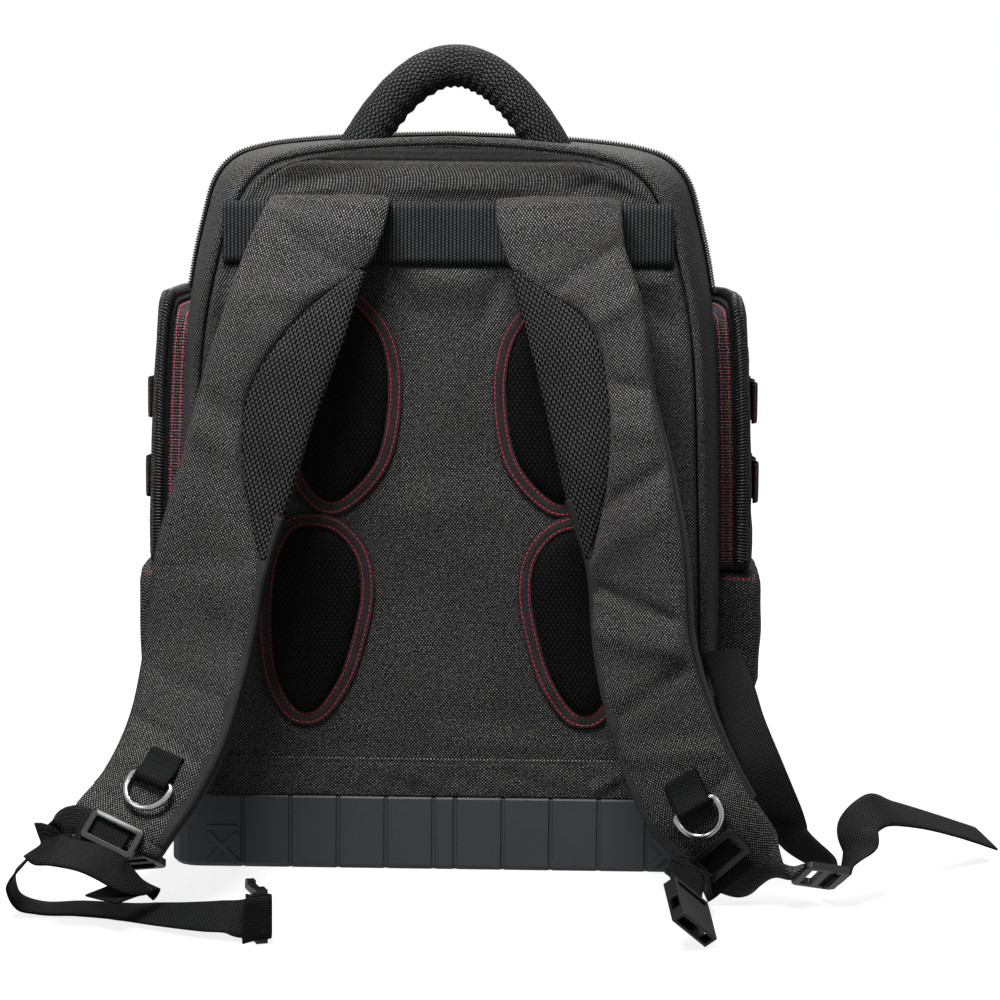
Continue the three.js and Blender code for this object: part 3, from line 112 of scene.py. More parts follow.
floor_fade.inputs["From Min"].default_value = 0.45
floor_fade.inputs["From Max"].default_value = 1.5
floor_fade.inputs["To Min"].default_value = 0.84
floor_fade.inputs["To Max"].default_value = 1.0
floor_paint.node_tree.links.new(floor_place.outputs["Object"], floor_reach.inputs[0])
floor_paint.node_tree.links.new(floor_reach.outputs["Value"], floor_fade.inputs["Value"])
floor_paint.node_tree.links.new(floor_fade.outputs["Result"], floor_shader.inputs["Emission Strength"])
studio_floor.visible_diffuse = False
studio_floor.visible_glossy = False
floor_mesh.materials.append(floor_paint)

# Bag body
# The body is a cup of coarse ballistic nylon, sewn from a front, two sides and a top. It leans back
# towards the front and its cloth sags a little between the seams.
bag_height, bag_depth = 455.0, 210.0
panel_face, shell_back = -101.7, -93.4
half_panel = 166.0
shell_bottom, front_lean = 4.3, 38.0
shell_height = bag_height - shell_bottom
shell_depth = bag_depth / 2 - 3 - 0.8 - shell_back


def listed(names, *rows):
    """The rows of a table as dictionaries, whose keys are the names."""
    return [dict(zip(names.split(), row)) for row in rows]


outline_table = listed(
    "up panel middle",
    (0.0, 0.94, 0.94), (0.012, 0.985, 0.985), (0.05, 0.998, 0.998), (0.11, 1.0, 1.005),
    (0.28, 0.985, 1.03), (0.5, 0.968, 1.025), (0.72, 0.94, 1.0), (0.82, 0.892, 0.965),
    (0.885, 0.84, 0.925), (0.935, 0.775, 0.885), (0.965, 0.69, 0.82), (0.982, 0.56, 0.7),
    (0.994, 0.32, 0.42), (1.0, 0.0, 0.0),
)
depth_table = listed(
    "depth blend grow rise",
    (0.0, 0.0, 1.0, 1.0), (0.1, 0.6, 1.0, 1.0), (0.25, 1.0, 1.0, 1.0), (0.5, 1.0, 1.005, 0.997),
    (0.75, 1.0, 1.0, 0.985), (0.88, 1.0, 0.985, 0.968), (0.96, 1.0, 0.95, 0.94),
    (1.0, 1.0, 0.88, 0.895),
)


def smooth(rows, along, shares):
    """Columns of a table of stations at shares of its length: a cubic between rows, whose knots
    stand the square root of their distance apart."""
    keys = list(rows[0])
    data = np.array([[row[key] for key in keys] for row in rows], float)
    picked = data[:, [keys.index(key) for key in along]]
    steps = np.sqrt(np.linalg.norm(np.diff(picked, axis=0), axis=1))
    knots = np.concatenate([[0], np.cumsum(steps)])
    slopes = np.diff(data, axis=0) / steps[:, None]
    tangents = np.empty_like(data)
    tangents[0], tangents[-1] = slopes[0], slopes[-1]
    before, after = steps[:-1, None], steps[1:, None]
    tangents[1:-1] = (after * slopes[:-1] + before * slopes[1:]) / (before + after)
    place = np.clip(shares, 0, 1) * knots[-1]
    i = np.clip(np.searchsorted(knots, place, side="right") - 1, 0, len(rows) - 2)
    t = ((place - knots[i]) / steps[i])[:, None]
    stretch = steps[i][:, None]
    read = (2 * t ** 3 - 3 * t ** 2 + 1) * data[i] + (3 * t ** 2 - 2 * t ** 3) * data[i + 1]
    read += stretch * ((t ** 3 - 2 * t ** 2 + t) * tangents[i] + (t ** 3 - t ** 2) * tangents[i + 1])
    return {key: read[:, k] for k, key in enumerate(keys)}


def unit(vectors):
    """Vectors divided by their lengths."""
    return vectors / np.maximum(np.linalg.norm(vectors, axis=-1, keepdims=True), 1e-9)


def run_length(points, axis):
    """Distance travelled along one axis of a grid of points, starting from nothing."""
    steps = np.linalg.norm(np.diff(points, axis=axis), axis=-1)
    start = np.zeros_like(np.take(steps, [0], axis=axis))
    return np.concatenate([start, np.cumsum(steps, axis=axis)], axis=axis)


def waves(a, b, sizes, seed):
    """A gentle random relief from -1 to 1: a mean of sine waves of the given lengths over two
    coordinates, each with its own direction and start."""
    chance = np.random.default_rng(seed)
    total = 0
    for size in sizes:
        for _ in range(3):
            turn, start = chance.uniform(0, 2 * np.pi, 2)
            total = total + np.sin((a * np.cos(turn) + b * np.sin(turn)) * 2 * np.pi / size + start)
    return total / (3 * len(sizes))


def crease(a, b, start, end, width):
    """A fold along a line: 1 on the line, falling off as a bell of the given width and towards the
    line's two ends."""
    start, end = np.array(start, float), np.array(end, float)
    way = end - start
    length = np.hypot(*way)
    along = ((a - start[0]) * way[0] + (b - start[1]) * way[1]) / length ** 2
    beside = ((a - start[0]) * way[1] - (b - start[1]) * way[0]) / length
    fade = np.clip(4 * along, 0, 1) * np.clip(4 * (1 - along), 0, 1)
    return fade * np.exp(-(beside / width) ** 2)


def surface(name, points, around=False, capped=False, uv=None, flip=False, looped=False):
    """A mesh through a grid of points in millimetres, rows by columns. Around joins the last column
    to the first, looped the last row to the first (the map then has a row more), and capped closes
    the first and last rows with a fan round their middles. The UV map holds metres on the cloth:
    across each row from its middle, and along the rows."""
    rows, columns = points.shape[:2]
    wrapped = np.concatenate([points, points[:, :1]], axis=1) if around else points
    wrapped = np.concatenate([wrapped, wrapped[:1]]) if looped else wrapped
    if uv is None:
        across = run_length(wrapped, 1)
        along = run_length(wrapped, 0).mean(axis=1, keepdims=True) + 0 * across
        uv = np.stack([across - across[:, -1:] / 2, along], axis=-1)
    ids = np.arange(rows * columns).reshape(rows, columns)
    ids = np.concatenate([ids, ids[:, :1]], axis=1) if around else ids
    ids = np.concatenate([ids, ids[:1]]) if looped else ids
    quads = np.stack([ids[:-1, :-1], ids[:-1, 1:], ids[1:, 1:], ids[1:, :-1]], axis=-1).reshape(-1, 4)
    corners = np.stack([uv[:-1, :-1], uv[:-1, 1:], uv[1:, 1:], uv[1:, :-1]], axis=2).reshape(-1, 2)
    vertices = points.reshape(-1, 3)
    loops, sizes = quads.reshape(-1), np.full(len(quads), 4)
    if capped:
        vertices = np.concatenate([vertices, points[:1].mean(axis=1), points[-1:].mean(axis=1)])
        last = len(vertices) - 1
        for row, centre, order in ((0, last - 1, (1, 0, 2)), (rows - 1, last, (0, 1, 2))):
            ring = ids[row] if around else np.append(ids[row], ids[row][0])
            edge = uv[row] if around else np.concatenate([uv[row], uv[row][:1]])
            fan = np.stack([ring[:-1], ring[1:], np.full(len(ring) - 1, centre)], axis=1)[:, order]
            middle = np.broadcast_to(edge.mean(axis=0), edge[:-1].shape)
            fan_uv = np.stack([edge[:-1], edge[1:], middle], axis=1)[:, order]
            loops = np.concatenate([loops, fan.reshape(-1)])
            corners = np.concatenate([corners, fan_uv.reshape(-1, 2)])
            sizes = np.concatenate([sizes, np.full(len(fan), 3)])
    if around and capped:
        low, high = quads[:, 0], quads[:, 2]
        facing = np.cross(vertices[high] - vertices[low], vertices[quads[:, 3]] - vertices[quads[:, 1]])
        middle = vertices[quads].mean(axis=1)
        flip = np.sum(facing * (middle - vertices.mean(axis=0))) < 0
    return mesh_piece(name, vertices, loops, sizes, corners, flip)


def mesh_piece(name, vertices, loops, sizes, corners, flip=False):
    """An object at the origin from points in millimetres, face corners and their UV in millimetres."""
    mesh = bpy.data.meshes.new(name)
    starts = np.concatenate([[0], np.cumsum(sizes)[:-1]])
    mesh.vertices.add(len(vertices))
    mesh.vertices.foreach_set("co", (np.asarray(vertices) / 1000).astype(np.float32).reshape(-1))
    mesh.loops.add(len(loops))
    mesh.loops.foreach_set("vertex_index", loops.astype(np.int32))
    mesh.polygons.add(len(sizes))
    mesh.polygons.foreach_set("loop_start", starts.astype(np.int32))
    mesh.polygons.foreach_set("use_smooth", np.ones(len(sizes), dtype=bool))
    layer = mesh.uv_layers.new(name="cloth")
    layer.data.foreach_set("uv", (corners / 1000).astype(np.float32).reshape(-1))
    mesh.update(calc_edges=True)
    if flip:
        mesh.flip_normals()
    mesh.validate()
    piece = bpy.data.objects.new(name, mesh)
    bpy.context.collection.objects.link(piece)
    return piece


def calc(tree, operation, *values):
    """One Math node of a node tree; each value is a number or a socket."""
    node = tree.nodes.new("ShaderNodeMath")
    node.operation = operation
    for socket, value in zip(node.inputs, values):
        if isinstance(value, (int, float)):
            socket.default_value = value
        else:
            tree.links.new(value, socket)
    return node.outputs[0]


def effect(name, inputs, outputs):
    """A new shader node group with a Place vector and the named number inputs, and the named number
    outputs. Returns the tree, its input sockets and a function that sets an output."""
    tree = bpy.data.node_groups.new(name, "ShaderNodeTree")
    tree.interface.new_socket("Place", in_out="INPUT", socket_type="NodeSocketVector")
    for title, value in inputs.items():
        tree.interface.new_socket(title, in_out="INPUT", socket_type="NodeSocketFloat").default_value = value
    for title in outputs:
        tree.interface.new_socket(title, in_out="OUTPUT", socket_type="NodeSocketFloat")
    entry = tree.nodes.new("NodeGroupInput")
    leave = tree.nodes.new("NodeGroupOutput")
    split = tree.nodes.new("ShaderNodeSeparateXYZ")
    tree.links.new(entry.outputs["Place"], split.inputs[0])
    sockets = {title: entry.outputs[title] for title in inputs}
    sockets["x"], sockets["y"] = split.outputs["X"], split.outputs["Y"]
    sockets["place"] = entry.outputs["Place"]
    return tree, sockets, lambda title, socket: tree.links.new(socket, leave.inputs[title])


def noise(tree, place, scale, detail=2.0):
    """A Noise Texture's value, at a scale in cycles per metre."""
    node = tree.nodes.new("ShaderNodeTexNoise")
    node.inputs["Scale"].default_value = scale
    node.inputs["Detail"].default_value = detail
    tree.links.new(place, node.inputs["Vector"])
    return node.outputs["Fac"]


def ballistic_weave():
    """Heavy yarns over and under: dots in staggered rows, each a product of two sines, whose strength wanders
    from yarn to yarn. Height bumps the yarns; the sharpest dots are also given out as painted glints, painted
    highlights for the yarn crossings."""
    tree, at, give = effect("ballistic weave", {"Across": 0.0019, "Along": 0.0022}, ["Height", "Painted Glint"])
    turns = [calc(tree, "MULTIPLY", calc(tree, "DIVIDE", at[way], at[pitch]), 2 * math.pi)
             for way, pitch in (("x", "Across"), ("y", "Along"))]
    sines = [calc(tree, "SINE", turn) for turn in turns]
    dots = calc(tree, "MULTIPLY_ADD", calc(tree, "MULTIPLY", *sines), 0.5, 0.5)
    give("Height", dots)
    # Painted highlight: the sharpest tops of the dots, their strength varied by a noise, are given out to
    # colour the yarn crossings light grey.
    glint_variation = noise(tree, at["place"], 700.0, 1.0)
    strength = calc(tree, "MULTIPLY", calc(tree, "POWER", dots, 5.0), calc(tree, "SUBTRACT", glint_variation, 0.22))
    give("Painted Glint", calc(tree, "MULTIPLY", strength, 2.7))
    return tree


weave_effect = ballistic_weave()


def cloth_wear_and_sheen():
    """Slow changes over a cloth: a mask of patches from a noise, used for dusty, rubbed roughness and to vary
    the strength of the cloths' painted highlights.
    """
    tree, at, give = effect("cloth wear and sheen", {"Size": 18.0}, ["Patches"])
    node = tree.nodes.new("ShaderNodeTexNoise")
    node.inputs["Detail"].default_value = 4.0
    tree.links.new(at["place"], node.inputs["Vector"])
    tree.links.new(at["Size"], node.inputs["Scale"])
    give("Patches", node.outputs["Fac"])
    return tree


wear_and_sheen_effect = cloth_wear_and_sheen()


def use(tree, group, place, **values):
    """Places a node group in a material, fed with a vector and its own values."""
    node = tree.nodes.new("ShaderNodeGroup")
    node.node_tree = group
    tree.links.new(place, node.inputs["Place"])
    for title, value in values.items():
        node.inputs[title].default_value = value
    return node.outputs


def tinted(tree, factor, dark, light):
    """A colour between dark and light by a factor socket."""
    node = tree.nodes.new("ShaderNodeMix")
    node.data_type = "RGBA"
    tree.links.new(factor, node.inputs["Factor"])
    node.inputs["A"].default_value = (*dark, 1)
    node.inputs["B"].default_value = (*light, 1)
    return node.outputs["Result"]


def raised(tree, height, depth):
    """A bump from a height socket, as deep as given in metres."""
    node = tree.nodes.new("ShaderNodeBump")
    node.inputs["Distance"].default_value = depth
    tree.links.new(height, node.inputs["Height"])
    return node.outputs["Normal"]


def finish_of(name, roughness, metallic=0.0, sheen=0.0, gloss=0.5):
    """A material with its shader, and the vectors of the cloth's map and of the object."""
    material = bpy.data.materials.new(name)
    material.use_nodes = True
    tree = material.node_tree
    shader = tree.nodes["Principled BSDF"]
    shader.inputs["Roughness"].default_value = roughness
    shader.inputs["Metallic"].default_value = metallic
    shader.inputs["Sheen Weight"].default_value = sheen
    shader.inputs["Sheen Roughness"].default_value = 0.5
    shader.inputs["Specular IOR Level"].default_value = gloss
    place = tree.nodes.new("ShaderNodeTexCoord")
    return material, tree, shader, place.outputs["UV"], place.outputs["Object"]


def weave_cloth(name, dark, light):
    """Coarse nylon cloth: dark ground, light grey painted highlights on the yarn crossings, and dusty patches
    that make it rougher and strengthen those painted highlights.
    """
    material, tree, shader, cloth, body = finish_of(name, 0.8, gloss=0.12)
    weave = use(tree, weave_effect, cloth)
    patches = use(tree, wear_and_sheen_effect, body, Size=14.0)["Patches"]
    # Painted highlight: the cloth's colour goes towards light grey on the yarn crossings by the painted
    # glints, stronger in the patches.
    lit = calc(tree, "MULTIPLY", weave["Painted Glint"], calc(tree, "MULTIPLY_ADD", patches, 0.9, 0.4))
    tree.links.new(tinted(tree, lit, dark, light), shader.inputs["Base Color"])
    tree.links.new(calc(tree, "MULTIPLY_ADD", patches, 0.16, 0.62), shader.inputs["Roughness"])
    tree.links.new(raised(tree, weave["Height"], 0.00022), shader.inputs["Normal"])
    return material


# The light grey here is the colour of the painted highlights on the yarn crossings.
bag_weave = weave_cloth("bag_weave", (0.0018, 0.0018, 0.0021), (0.62, 0.605, 0.59))


def dress(piece, material, body="bag", stands_for=()):
    """Gives a piece its material and slot, lets it ride on its body and stand for CAD nodes."""
    piece.data.materials.clear()
    piece.data.materials.append(material)
    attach(piece, body)
    if stands_for:
        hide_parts(*stands_for)
    return piece


outline_read = smooth(outline_table, ["up", "panel"], np.linspace(0, 1, 1500))
depth_read = smooth(depth_table, ["depth"], np.linspace(0, 1, 1500))


def width_at(up, blend):
    """Half the body's width at a share of its height, between the panel's outline and the middle."""
    panel = np.interp(up, outline_read["up"], outline_read["panel"])
    middle = np.interp(up, outline_read["up"], outline_read["middle"])
    return (panel + (middle - panel) * blend) * half_panel


def section_at(depth):
    """How a section at a share of the depth blends, grows and rises."""
    return [np.interp(depth, depth_read["depth"], depth_read[key]) for key in ("blend", "grow", "rise")]


def body_point(turn, depth, inset=0.0):
    """A point of the body: turn from -1 to 1 goes round from the left foot over the top to the right
    foot, depth from 0 at the panel to 1 at the front."""
    blend, grow, rise = section_at(depth)
    share = 1 - np.abs(turn)
    places = np.linspace(0, 1, 1500)
    up = np.interp(share, places, outline_read["up"])
    x = np.sign(turn) * width_at(up, blend) * grow
    z = up * shell_height * rise
    y = shell_back + depth * (shell_depth - front_lean * up * rise)
    slide = 1 - inset / half_panel
    return np.stack([x * slide, y, shell_bottom + z * (1 - inset / shell_height)], axis=-1)


def body_surface():
    """The body: rounds of body_point from the panel to the front, then closed in to a middle. Slow
    waves and a few sagging folds stand for the limp cloth."""
    turns = np.linspace(-1, 1, 221)
    depths = np.concatenate([np.linspace(0, 0.9, 70), np.linspace(0.91, 1, 14)])
    turn, depth = np.meshgrid(turns, depths)
    points = body_point(turn, depth)
    up = (points[..., 2] - shell_bottom) / shell_height
    free = np.clip((depth - 0.04) * 8, 0, 1) * np.clip((up - 0.12) * 8, 0, 1)
    free *= np.clip(np.abs(depth - 0.3) * 10 - 0.8, 0, 1)
    relief = 1.6 * waves(points[..., 1], points[..., 2], (95, 60), 3)
    relief += 2.2 * crease(points[..., 1], points[..., 2], (-20, 60), (60, 95), 9)
    relief += 1.8 * crease(points[..., 1], points[..., 2], (10, 330), (75, 365), 10)
    outward = unit(points * np.array([1, 0, 1]) - np.array([0, 0, 0.45 * shell_height]) * np.array([1, 0, 1]))
    points = points + outward * (relief * free - 0.8 * free)[..., None]
    front = points[-1:]
    middle = np.array([0, shell_back + shell_depth - 0.45 * front_lean, shell_bottom + 0.45 * shell_height])
    cover = []
    for share in np.linspace(0.03, 0.97, 40):
        ring = front + (middle - front) * share
        belly = 3.0 * math.sin(math.pi * min(share * 1.2, 1)) ** 0.5
        lean = shell_back + shell_depth - front_lean * (ring[..., 2:] - shell_bottom) / shell_height
        pushed = np.maximum(ring[..., 1:2], lean - 1.5) + belly
        ring = np.concatenate([ring[..., :1], pushed, ring[..., 2:]], axis=-1)
        cover.append(ring)
    points = np.concatenate([points, *cover])
    return points


body_points = body_surface()
body_back = body_points[:1] * np.array([0.97, 1, 0.97]) + np.array([0, 0.5, 3.0])
bag_body = surface("bag_body", np.concatenate([body_back, body_points]), around=True, capped=True)
dress(bag_body, bag_weave, stands_for=["main_shell"])

# Back panel, welt, hem and anchor band
# The padded panel that lies against the back: the same nylon over foam, turned in round its edge and
# closed by a cloth covered welt, with a doubled hem along its foot and 38 mm webbing sewn across it.
panel_edge, welt_radius, drawn_in = 3.0, 2.8, 6.4
pad_tables = {
    "upper": listed(
        "x z",
        (-0.305, 0.785), (-0.2, 0.735), (-0.165, 0.66), (-0.205, 0.565), (-0.33, 0.505),
        (-0.455, 0.49), (-0.57, 0.53), (-0.63, 0.62), (-0.61, 0.71), (-0.53, 0.775), (-0.41, 0.805),
    ),
    "lower": listed(
        "x z",
        (-0.5, 0.492), (-0.38, 0.48), (-0.29, 0.44), (-0.265, 0.385), (-0.295, 0.32),
        (-0.355, 0.255), (-0.46, 0.205), (-0.58, 0.205), (-0.67, 0.255), (-0.7, 0.34),
        (-0.675, 0.43), (-0.605, 0.48),
    ),
}
panel_folds = listed(
    "x1 z1 x2 z2 width height",
    (88, 440, 132, 412, 5, 2.0), (96, 427, 134, 400, 4, -1.6), (60, 446, 108, 424, 5, 1.4),
    (-128, 432, -66, 445, 5, 1.8), (-112, 422, -40, 436, 5, -1.3), (-100, 418, -64, 424, 4, 1.2),
    (-50, 424, 66, 426, 9, 2.4), (70, 420, 96, 430, 4, -1.4), (-40, 374, -12, 338, 7, -2.4),
    (36, 374, 20, 332, 7, -2.2), (-22, 368, 24, 366, 11, 2.6), (-6, 340, 8, 250, 20, 1.2),
    (-34, 300, -22, 240, 12, -1.0), (44, 300, 30, 236, 12, -0.9), (-52, 226, 60, 232, 13, 1.2),
    (-150, 374, -128, 344, 6, 2.0), (-152, 356, -126, 318, 5, -1.8), (-148, 330, -136, 306, 5, 1.2),
    (108, 372, 140, 366, 7, 2.6), (110, 356, 146, 338, 6, -2.2), (126, 336, 150, 310, 6, 1.6),
    (134, 300, 150, 270, 6, -1.3), (-118, 82, -30, 90, 5, 1.0), (10, 80, 116, 74, 5, 1.2),
    (-30, 98, 100, 92, 8, -0.8),
)


def pad_distance(x, z):
    """Rough distance from a point of the panel to the nearest pad's middle, in shares of its size."""
    nearest = np.full(np.shape(x), 9.0)
    for table in pad_tables.values():
        rows = np.array([[row["x"] * half_panel, row["z"] * bag_height] for row in table])
        middle = (rows.max(axis=0) + rows.min(axis=0)) / 2
        half = (rows.max(axis=0) - rows.min(axis=0)) / 2 + 4
        for side in (-1, 1):
            share = np.hypot((x + side * middle[0]) / half[0], (z - middle[1]) / half[1])
            nearest = np.minimum(nearest, share)
    return nearest


def panel_relief(x, z):
    """How far the panel's cloth stands out or in: folds from the table and slow waves, quiet under
    the pads, the band and the hem."""
    relief = 0.5 * waves(x, z, (70, 46), 11)
    for fold in panel_folds:
        start, end = (fold["x1"], fold["z1"]), (fold["x2"], fold["z2"])
        relief = relief + fold["height"] * crease(x, z, start, end, fold["width"])
    quiet = np.clip((pad_distance(x, z) - 1.0) * 4, 0, 1)
    under_band = np.clip(np.abs(z - 396) / 6 - 3.4, 0, 1)
    return relief * quiet * under_band * np.clip((z - 72) / 8, 0, 1)


def panel_surface():
    """The panel: level rounds from the foot to the crown, each across the face and back behind it.
    The face rolls back over panel_edge near its border, with a shallow seam line inside the welt."""
    shares = np.concatenate([np.linspace(0.0, 0.8, 150), np.linspace(0.805, 0.985, 70)])
    up = np.interp(shares, np.linspace(0, 1, 1500), outline_read["up"])
    half = np.interp(shares, np.linspace(0, 1, 1500), outline_read["panel"]) * half_panel
    z = shell_bottom + up * shell_height
    rise = np.gradient(z)
    spread = np.gradient(half)
    lean = np.hypot(rise, spread)
    half, z = half - drawn_in * rise / lean, z - drawn_in * -spread / lean
    z = np.maximum(z, shell_bottom)
    rows = np.linspace(-1, 1, 190)
    face_x = half[:, None] * rows[None, :]
    face_z = z[:, None] + 0 * face_x
    crown = z.max()
    border = np.minimum(half[:, None] - np.abs(face_x), (crown - face_z) * 1.0 + 0.0)
    roll = np.clip(1 - border / panel_edge, 0, 1)
    y = panel_face + panel_edge * roll ** 2 - panel_relief(face_x, face_z) * np.clip(border / 12, 0, 1)
    y += 0.9 * np.exp(-((border - 8.5) / 1.3) ** 2)
    face = np.stack([face_x, y, face_z], axis=-1)
    rear_x = half[:, None] * np.linspace(1, -1, 24)[None, :]
    rear = np.stack([rear_x, 0 * rear_x + panel_face + 8, z[:, None] + 0 * rear_x], axis=-1)
    return np.concatenate([face, rear], axis=1)


back_panel = surface("back_panel_cloth", panel_surface(), around=True, capped=True)
dress(back_panel, bag_weave, stands_for=["back_panel"])


def read_at(places, travelled, points):
    """Points of a line at some places, from its points and the lengths travelled to them."""
    return np.stack([np.interp(places, travelled, points[:, k]) for k in range(3)], axis=1)


def squared_off(wave, power):
    """A wave whose rounds are pressed out towards a square, by a power below one."""
    return np.sign(wave) * np.abs(wave) ** power


def rounds(one, other, angles):
    """Directions round every point of a path, between two that are square to it."""
    return one[:, None] * np.cos(angles)[..., None] + other[:, None] * np.sin(angles)[..., None]


def tube(name, path, radius, sides=16):
    """A round cord: a circle of the given radius, or radius per row, carried along a path."""
    along = unit(np.gradient(path, axis=0))
    toward = np.array([0.0, -1.0, 0.0])
    out = unit(toward - np.sum(along * toward, axis=1, keepdims=True) * along)
    beside = np.cross(out, along)
    angles = np.linspace(0, 2 * np.pi, sides, endpoint=False)
    radius = np.broadcast_to(radius, (len(path),))[:, None, None]
    return surface(name, path[:, None] + rounds(beside, out, angles) * radius, around=True, capped=True)


def panel_border(inset, foot, count):
    """A path round the panel's edge, moved in by inset, from the left foot over the crown."""
    share = np.concatenate([np.linspace(0, 1, count), np.linspace(1, 0, count)[1:]])
    up = np.interp(share, np.linspace(0, 1, 1500), outline_read["up"])
    half = np.interp(share, np.linspace(0, 1, 1500), outline_read["panel"]) * half_panel
    side = np.concatenate([-np.ones(count), np.ones(count - 1)])
    edge = np.full(len(half), panel_face + panel_edge)
    path = np.stack([side * half, edge, shell_bottom + up * shell_height], axis=1)
    way = unit(np.gradient(path, axis=0))
    inward = np.stack([way[:, 2], 0 * way[:, 0], -way[:, 0]], axis=1)
    path = path + inward * inset
    return path[path[:, 2] > foot]


welt_path = panel_border(welt_radius, 46.5, 240)
travelled = run_length(welt_path[:, None], 0)[:, 0]
welt_swell = 1 + 0.05 * waves(travelled, 0 * travelled, (23, 9), 5)
welt = tube("panel_welt", welt_path, (welt_radius - 0.15) * welt_swell)
dress(welt, bag_weave, stands_for=["panel_piping"])


def laid(centre, across, out, wide, high):
    """Points of a section laid on each row of centres, wide along across and high along out."""
    return centre[:, None] + across[:, None] * wide[..., None] + out[:, None] * high[..., None]


def strip(name, centre, across, out, width, thickness, columns=9, round_off=0.25, relief=None,
          crosswise=False):
    """A flat strip along a row of centres: a thin rounded section, width and thickness per row, with
    an optional relief on its outer face. Crosswise turns its map."""
    shares = np.linspace(-1, 1, columns)
    width = np.broadcast_to(width, (len(centre),))[:, None]
    thickness = np.broadcast_to(thickness, (len(centre),))[:, None]
    edge = 1 - round_off * np.abs(shares) ** 8
    face = thickness / 2 * edge
    if relief is not None:
        face = face + relief
    top = [width / 2 * shares, face]
    low = [width / 2 * shares[::-1], -thickness / 2 * edge]
    offsets = [np.concatenate([a, b], axis=1) for a, b in zip(top, np.broadcast_arrays(*low))]
    points = laid(centre, across, out, *offsets)
    rows = run_length(centre[:, None], 0)
    uv = np.stack([np.concatenate([offsets[0], offsets[0][:, :1]], axis=1),
                   np.broadcast_to(rows, (len(centre), 2 * columns + 1))], axis=-1)
    if crosswise:
        uv = uv[..., ::-1]
    return surface(name, points, around=True, capped=True, uv=uv)


def webbing_ribs():
    """Woven webbing: columns of chained stitches across its width, each a row of slanting bumps that
    starts half a step after its neighbour."""
    tree, at, give = effect("webbing ribs", {"Column": 0.0014, "Chain": 0.0024}, ["Height", "Rim"])
    column = calc(tree, "DIVIDE", at["x"], at["Column"])
    inside = calc(tree, "ABSOLUTE", calc(tree, "SUBTRACT", calc(tree, "FRACT", column), 0.5))
    offset = calc(tree, "MULTIPLY", calc(tree, "MODULO", calc(tree, "FLOOR", column), 2.0), 0.5)
    chain = calc(tree, "ADD", calc(tree, "DIVIDE", at["y"], at["Chain"]), calc(tree, "ADD", offset, inside))
    swell = calc(tree, "SINE", calc(tree, "MULTIPLY", chain, 2 * math.pi))
    bump = calc(tree, "MULTIPLY_ADD", swell, 0.5, 0.5)
    squared = calc(tree, "MULTIPLY", inside, inside)
    round_column = calc(tree, "SUBTRACT", 1.0, calc(tree, "MULTIPLY", squared, 4.0))
    give("Height", calc(tree, "MULTIPLY", calc(tree, "MULTIPLY_ADD", bump, 0.6, 0.4), round_column))
    give("Rim", calc(tree, "POWER", round_column, 2.0))
    return tree


ribs_effect = webbing_ribs()


def webbing_cloth(name, dark, light, column=0.0014, chain=0.0024):
    """Black webbing: the tops of its ribs are painted a little lighter, a painted highlight where they would
    catch the light.
    """
    material, tree, shader, cloth, body = finish_of(name, 0.62, gloss=0.08)
    ribs = use(tree, ribs_effect, cloth, Column=column, Chain=chain)
    patches = use(tree, wear_and_sheen_effect, body, Size=30.0)["Patches"]
    # Painted highlight: rib tops coloured towards the light colour, varied by the slow patches.
    lit = calc(tree, "MULTIPLY", calc(tree, "POWER", ribs["Height"], 2.0),
               calc(tree, "MULTIPLY_ADD", patches, 1.0, 0.4))
    tree.links.new(tinted(tree, lit, dark, light), shader.inputs["Base Color"])
    tree.links.new(calc(tree, "MULTIPLY_ADD", patches, 0.2, 0.5), shader.inputs["Roughness"])
    tree.links.new(raised(tree, ribs["Height"], 0.00035), shader.inputs["Normal"])
    return material


webbing_black = webbing_cloth("webbing_black", (0.0015, 0.0016, 0.0018), (0.035, 0.036, 0.037))


def row_across(x_low, x_high, z, y, count):
    """Centres, across and out of a strip that runs from left to right at one height."""
    x = np.linspace(x_low, x_high, count)
    centre = np.stack([x, np.full(count, y), np.full(count, z)], axis=1)
    upward = np.tile([0.0, 0.0, 1.0], (count, 1))
    outward = np.tile([0.0, -1.0, 0.0], (count, 1))
    return centre, upward, outward


band_reach, band_middle, band_wide, band_thick = 137.5, 396, 38, 1.8
band = strip("anchor_band", *row_across(-band_reach, band_reach, band_middle, panel_face - 1.2, 90),
             band_wide, band_thick, crosswise=True)
band_black = webbing_cloth("band_black", (0.002, 0.0022, 0.0024), (0.105, 0.11, 0.114),
                           column=0.0023, chain=0.0018)
dress(band, band_black, stands_for=["strap_anchor_band"])

hem_reach, hem_middle, hem_wide, hem_thick = 163, 58.3, 24, 2.2
hem_centre, hem_up, hem_out = row_across(-hem_reach, hem_reach, hem_middle, panel_face - 1.4, 200)
hem_places = np.linspace(-1, 1, 21)[None, :]
hem_along, hem_rise = np.broadcast_arrays(hem_centre[:, :1], hem_wide / 2 * hem_places)
puckers = 0.9 * waves(hem_along, hem_rise, (26, 15), 21)
puckers = puckers + 1.5 * crease(hem_along, hem_rise, (88, -10), (118, 8), 4)
hem = strip("panel_hem_cloth", hem_centre, hem_up, hem_out, hem_wide, hem_thick, columns=21,
            relief=puckers * (1 - hem_places ** 4) - 0.6 * np.exp(-((hem_places - 0.8) / 0.07) ** 2))
dress(hem, bag_weave, stands_for=["panel_hem"])

# Moulded base
# A hollow tray of dark rubber, pressed in one piece, with upright grooves between its plates and a
# crossed foot on each corner. It is the only part that carries the bag's weight.


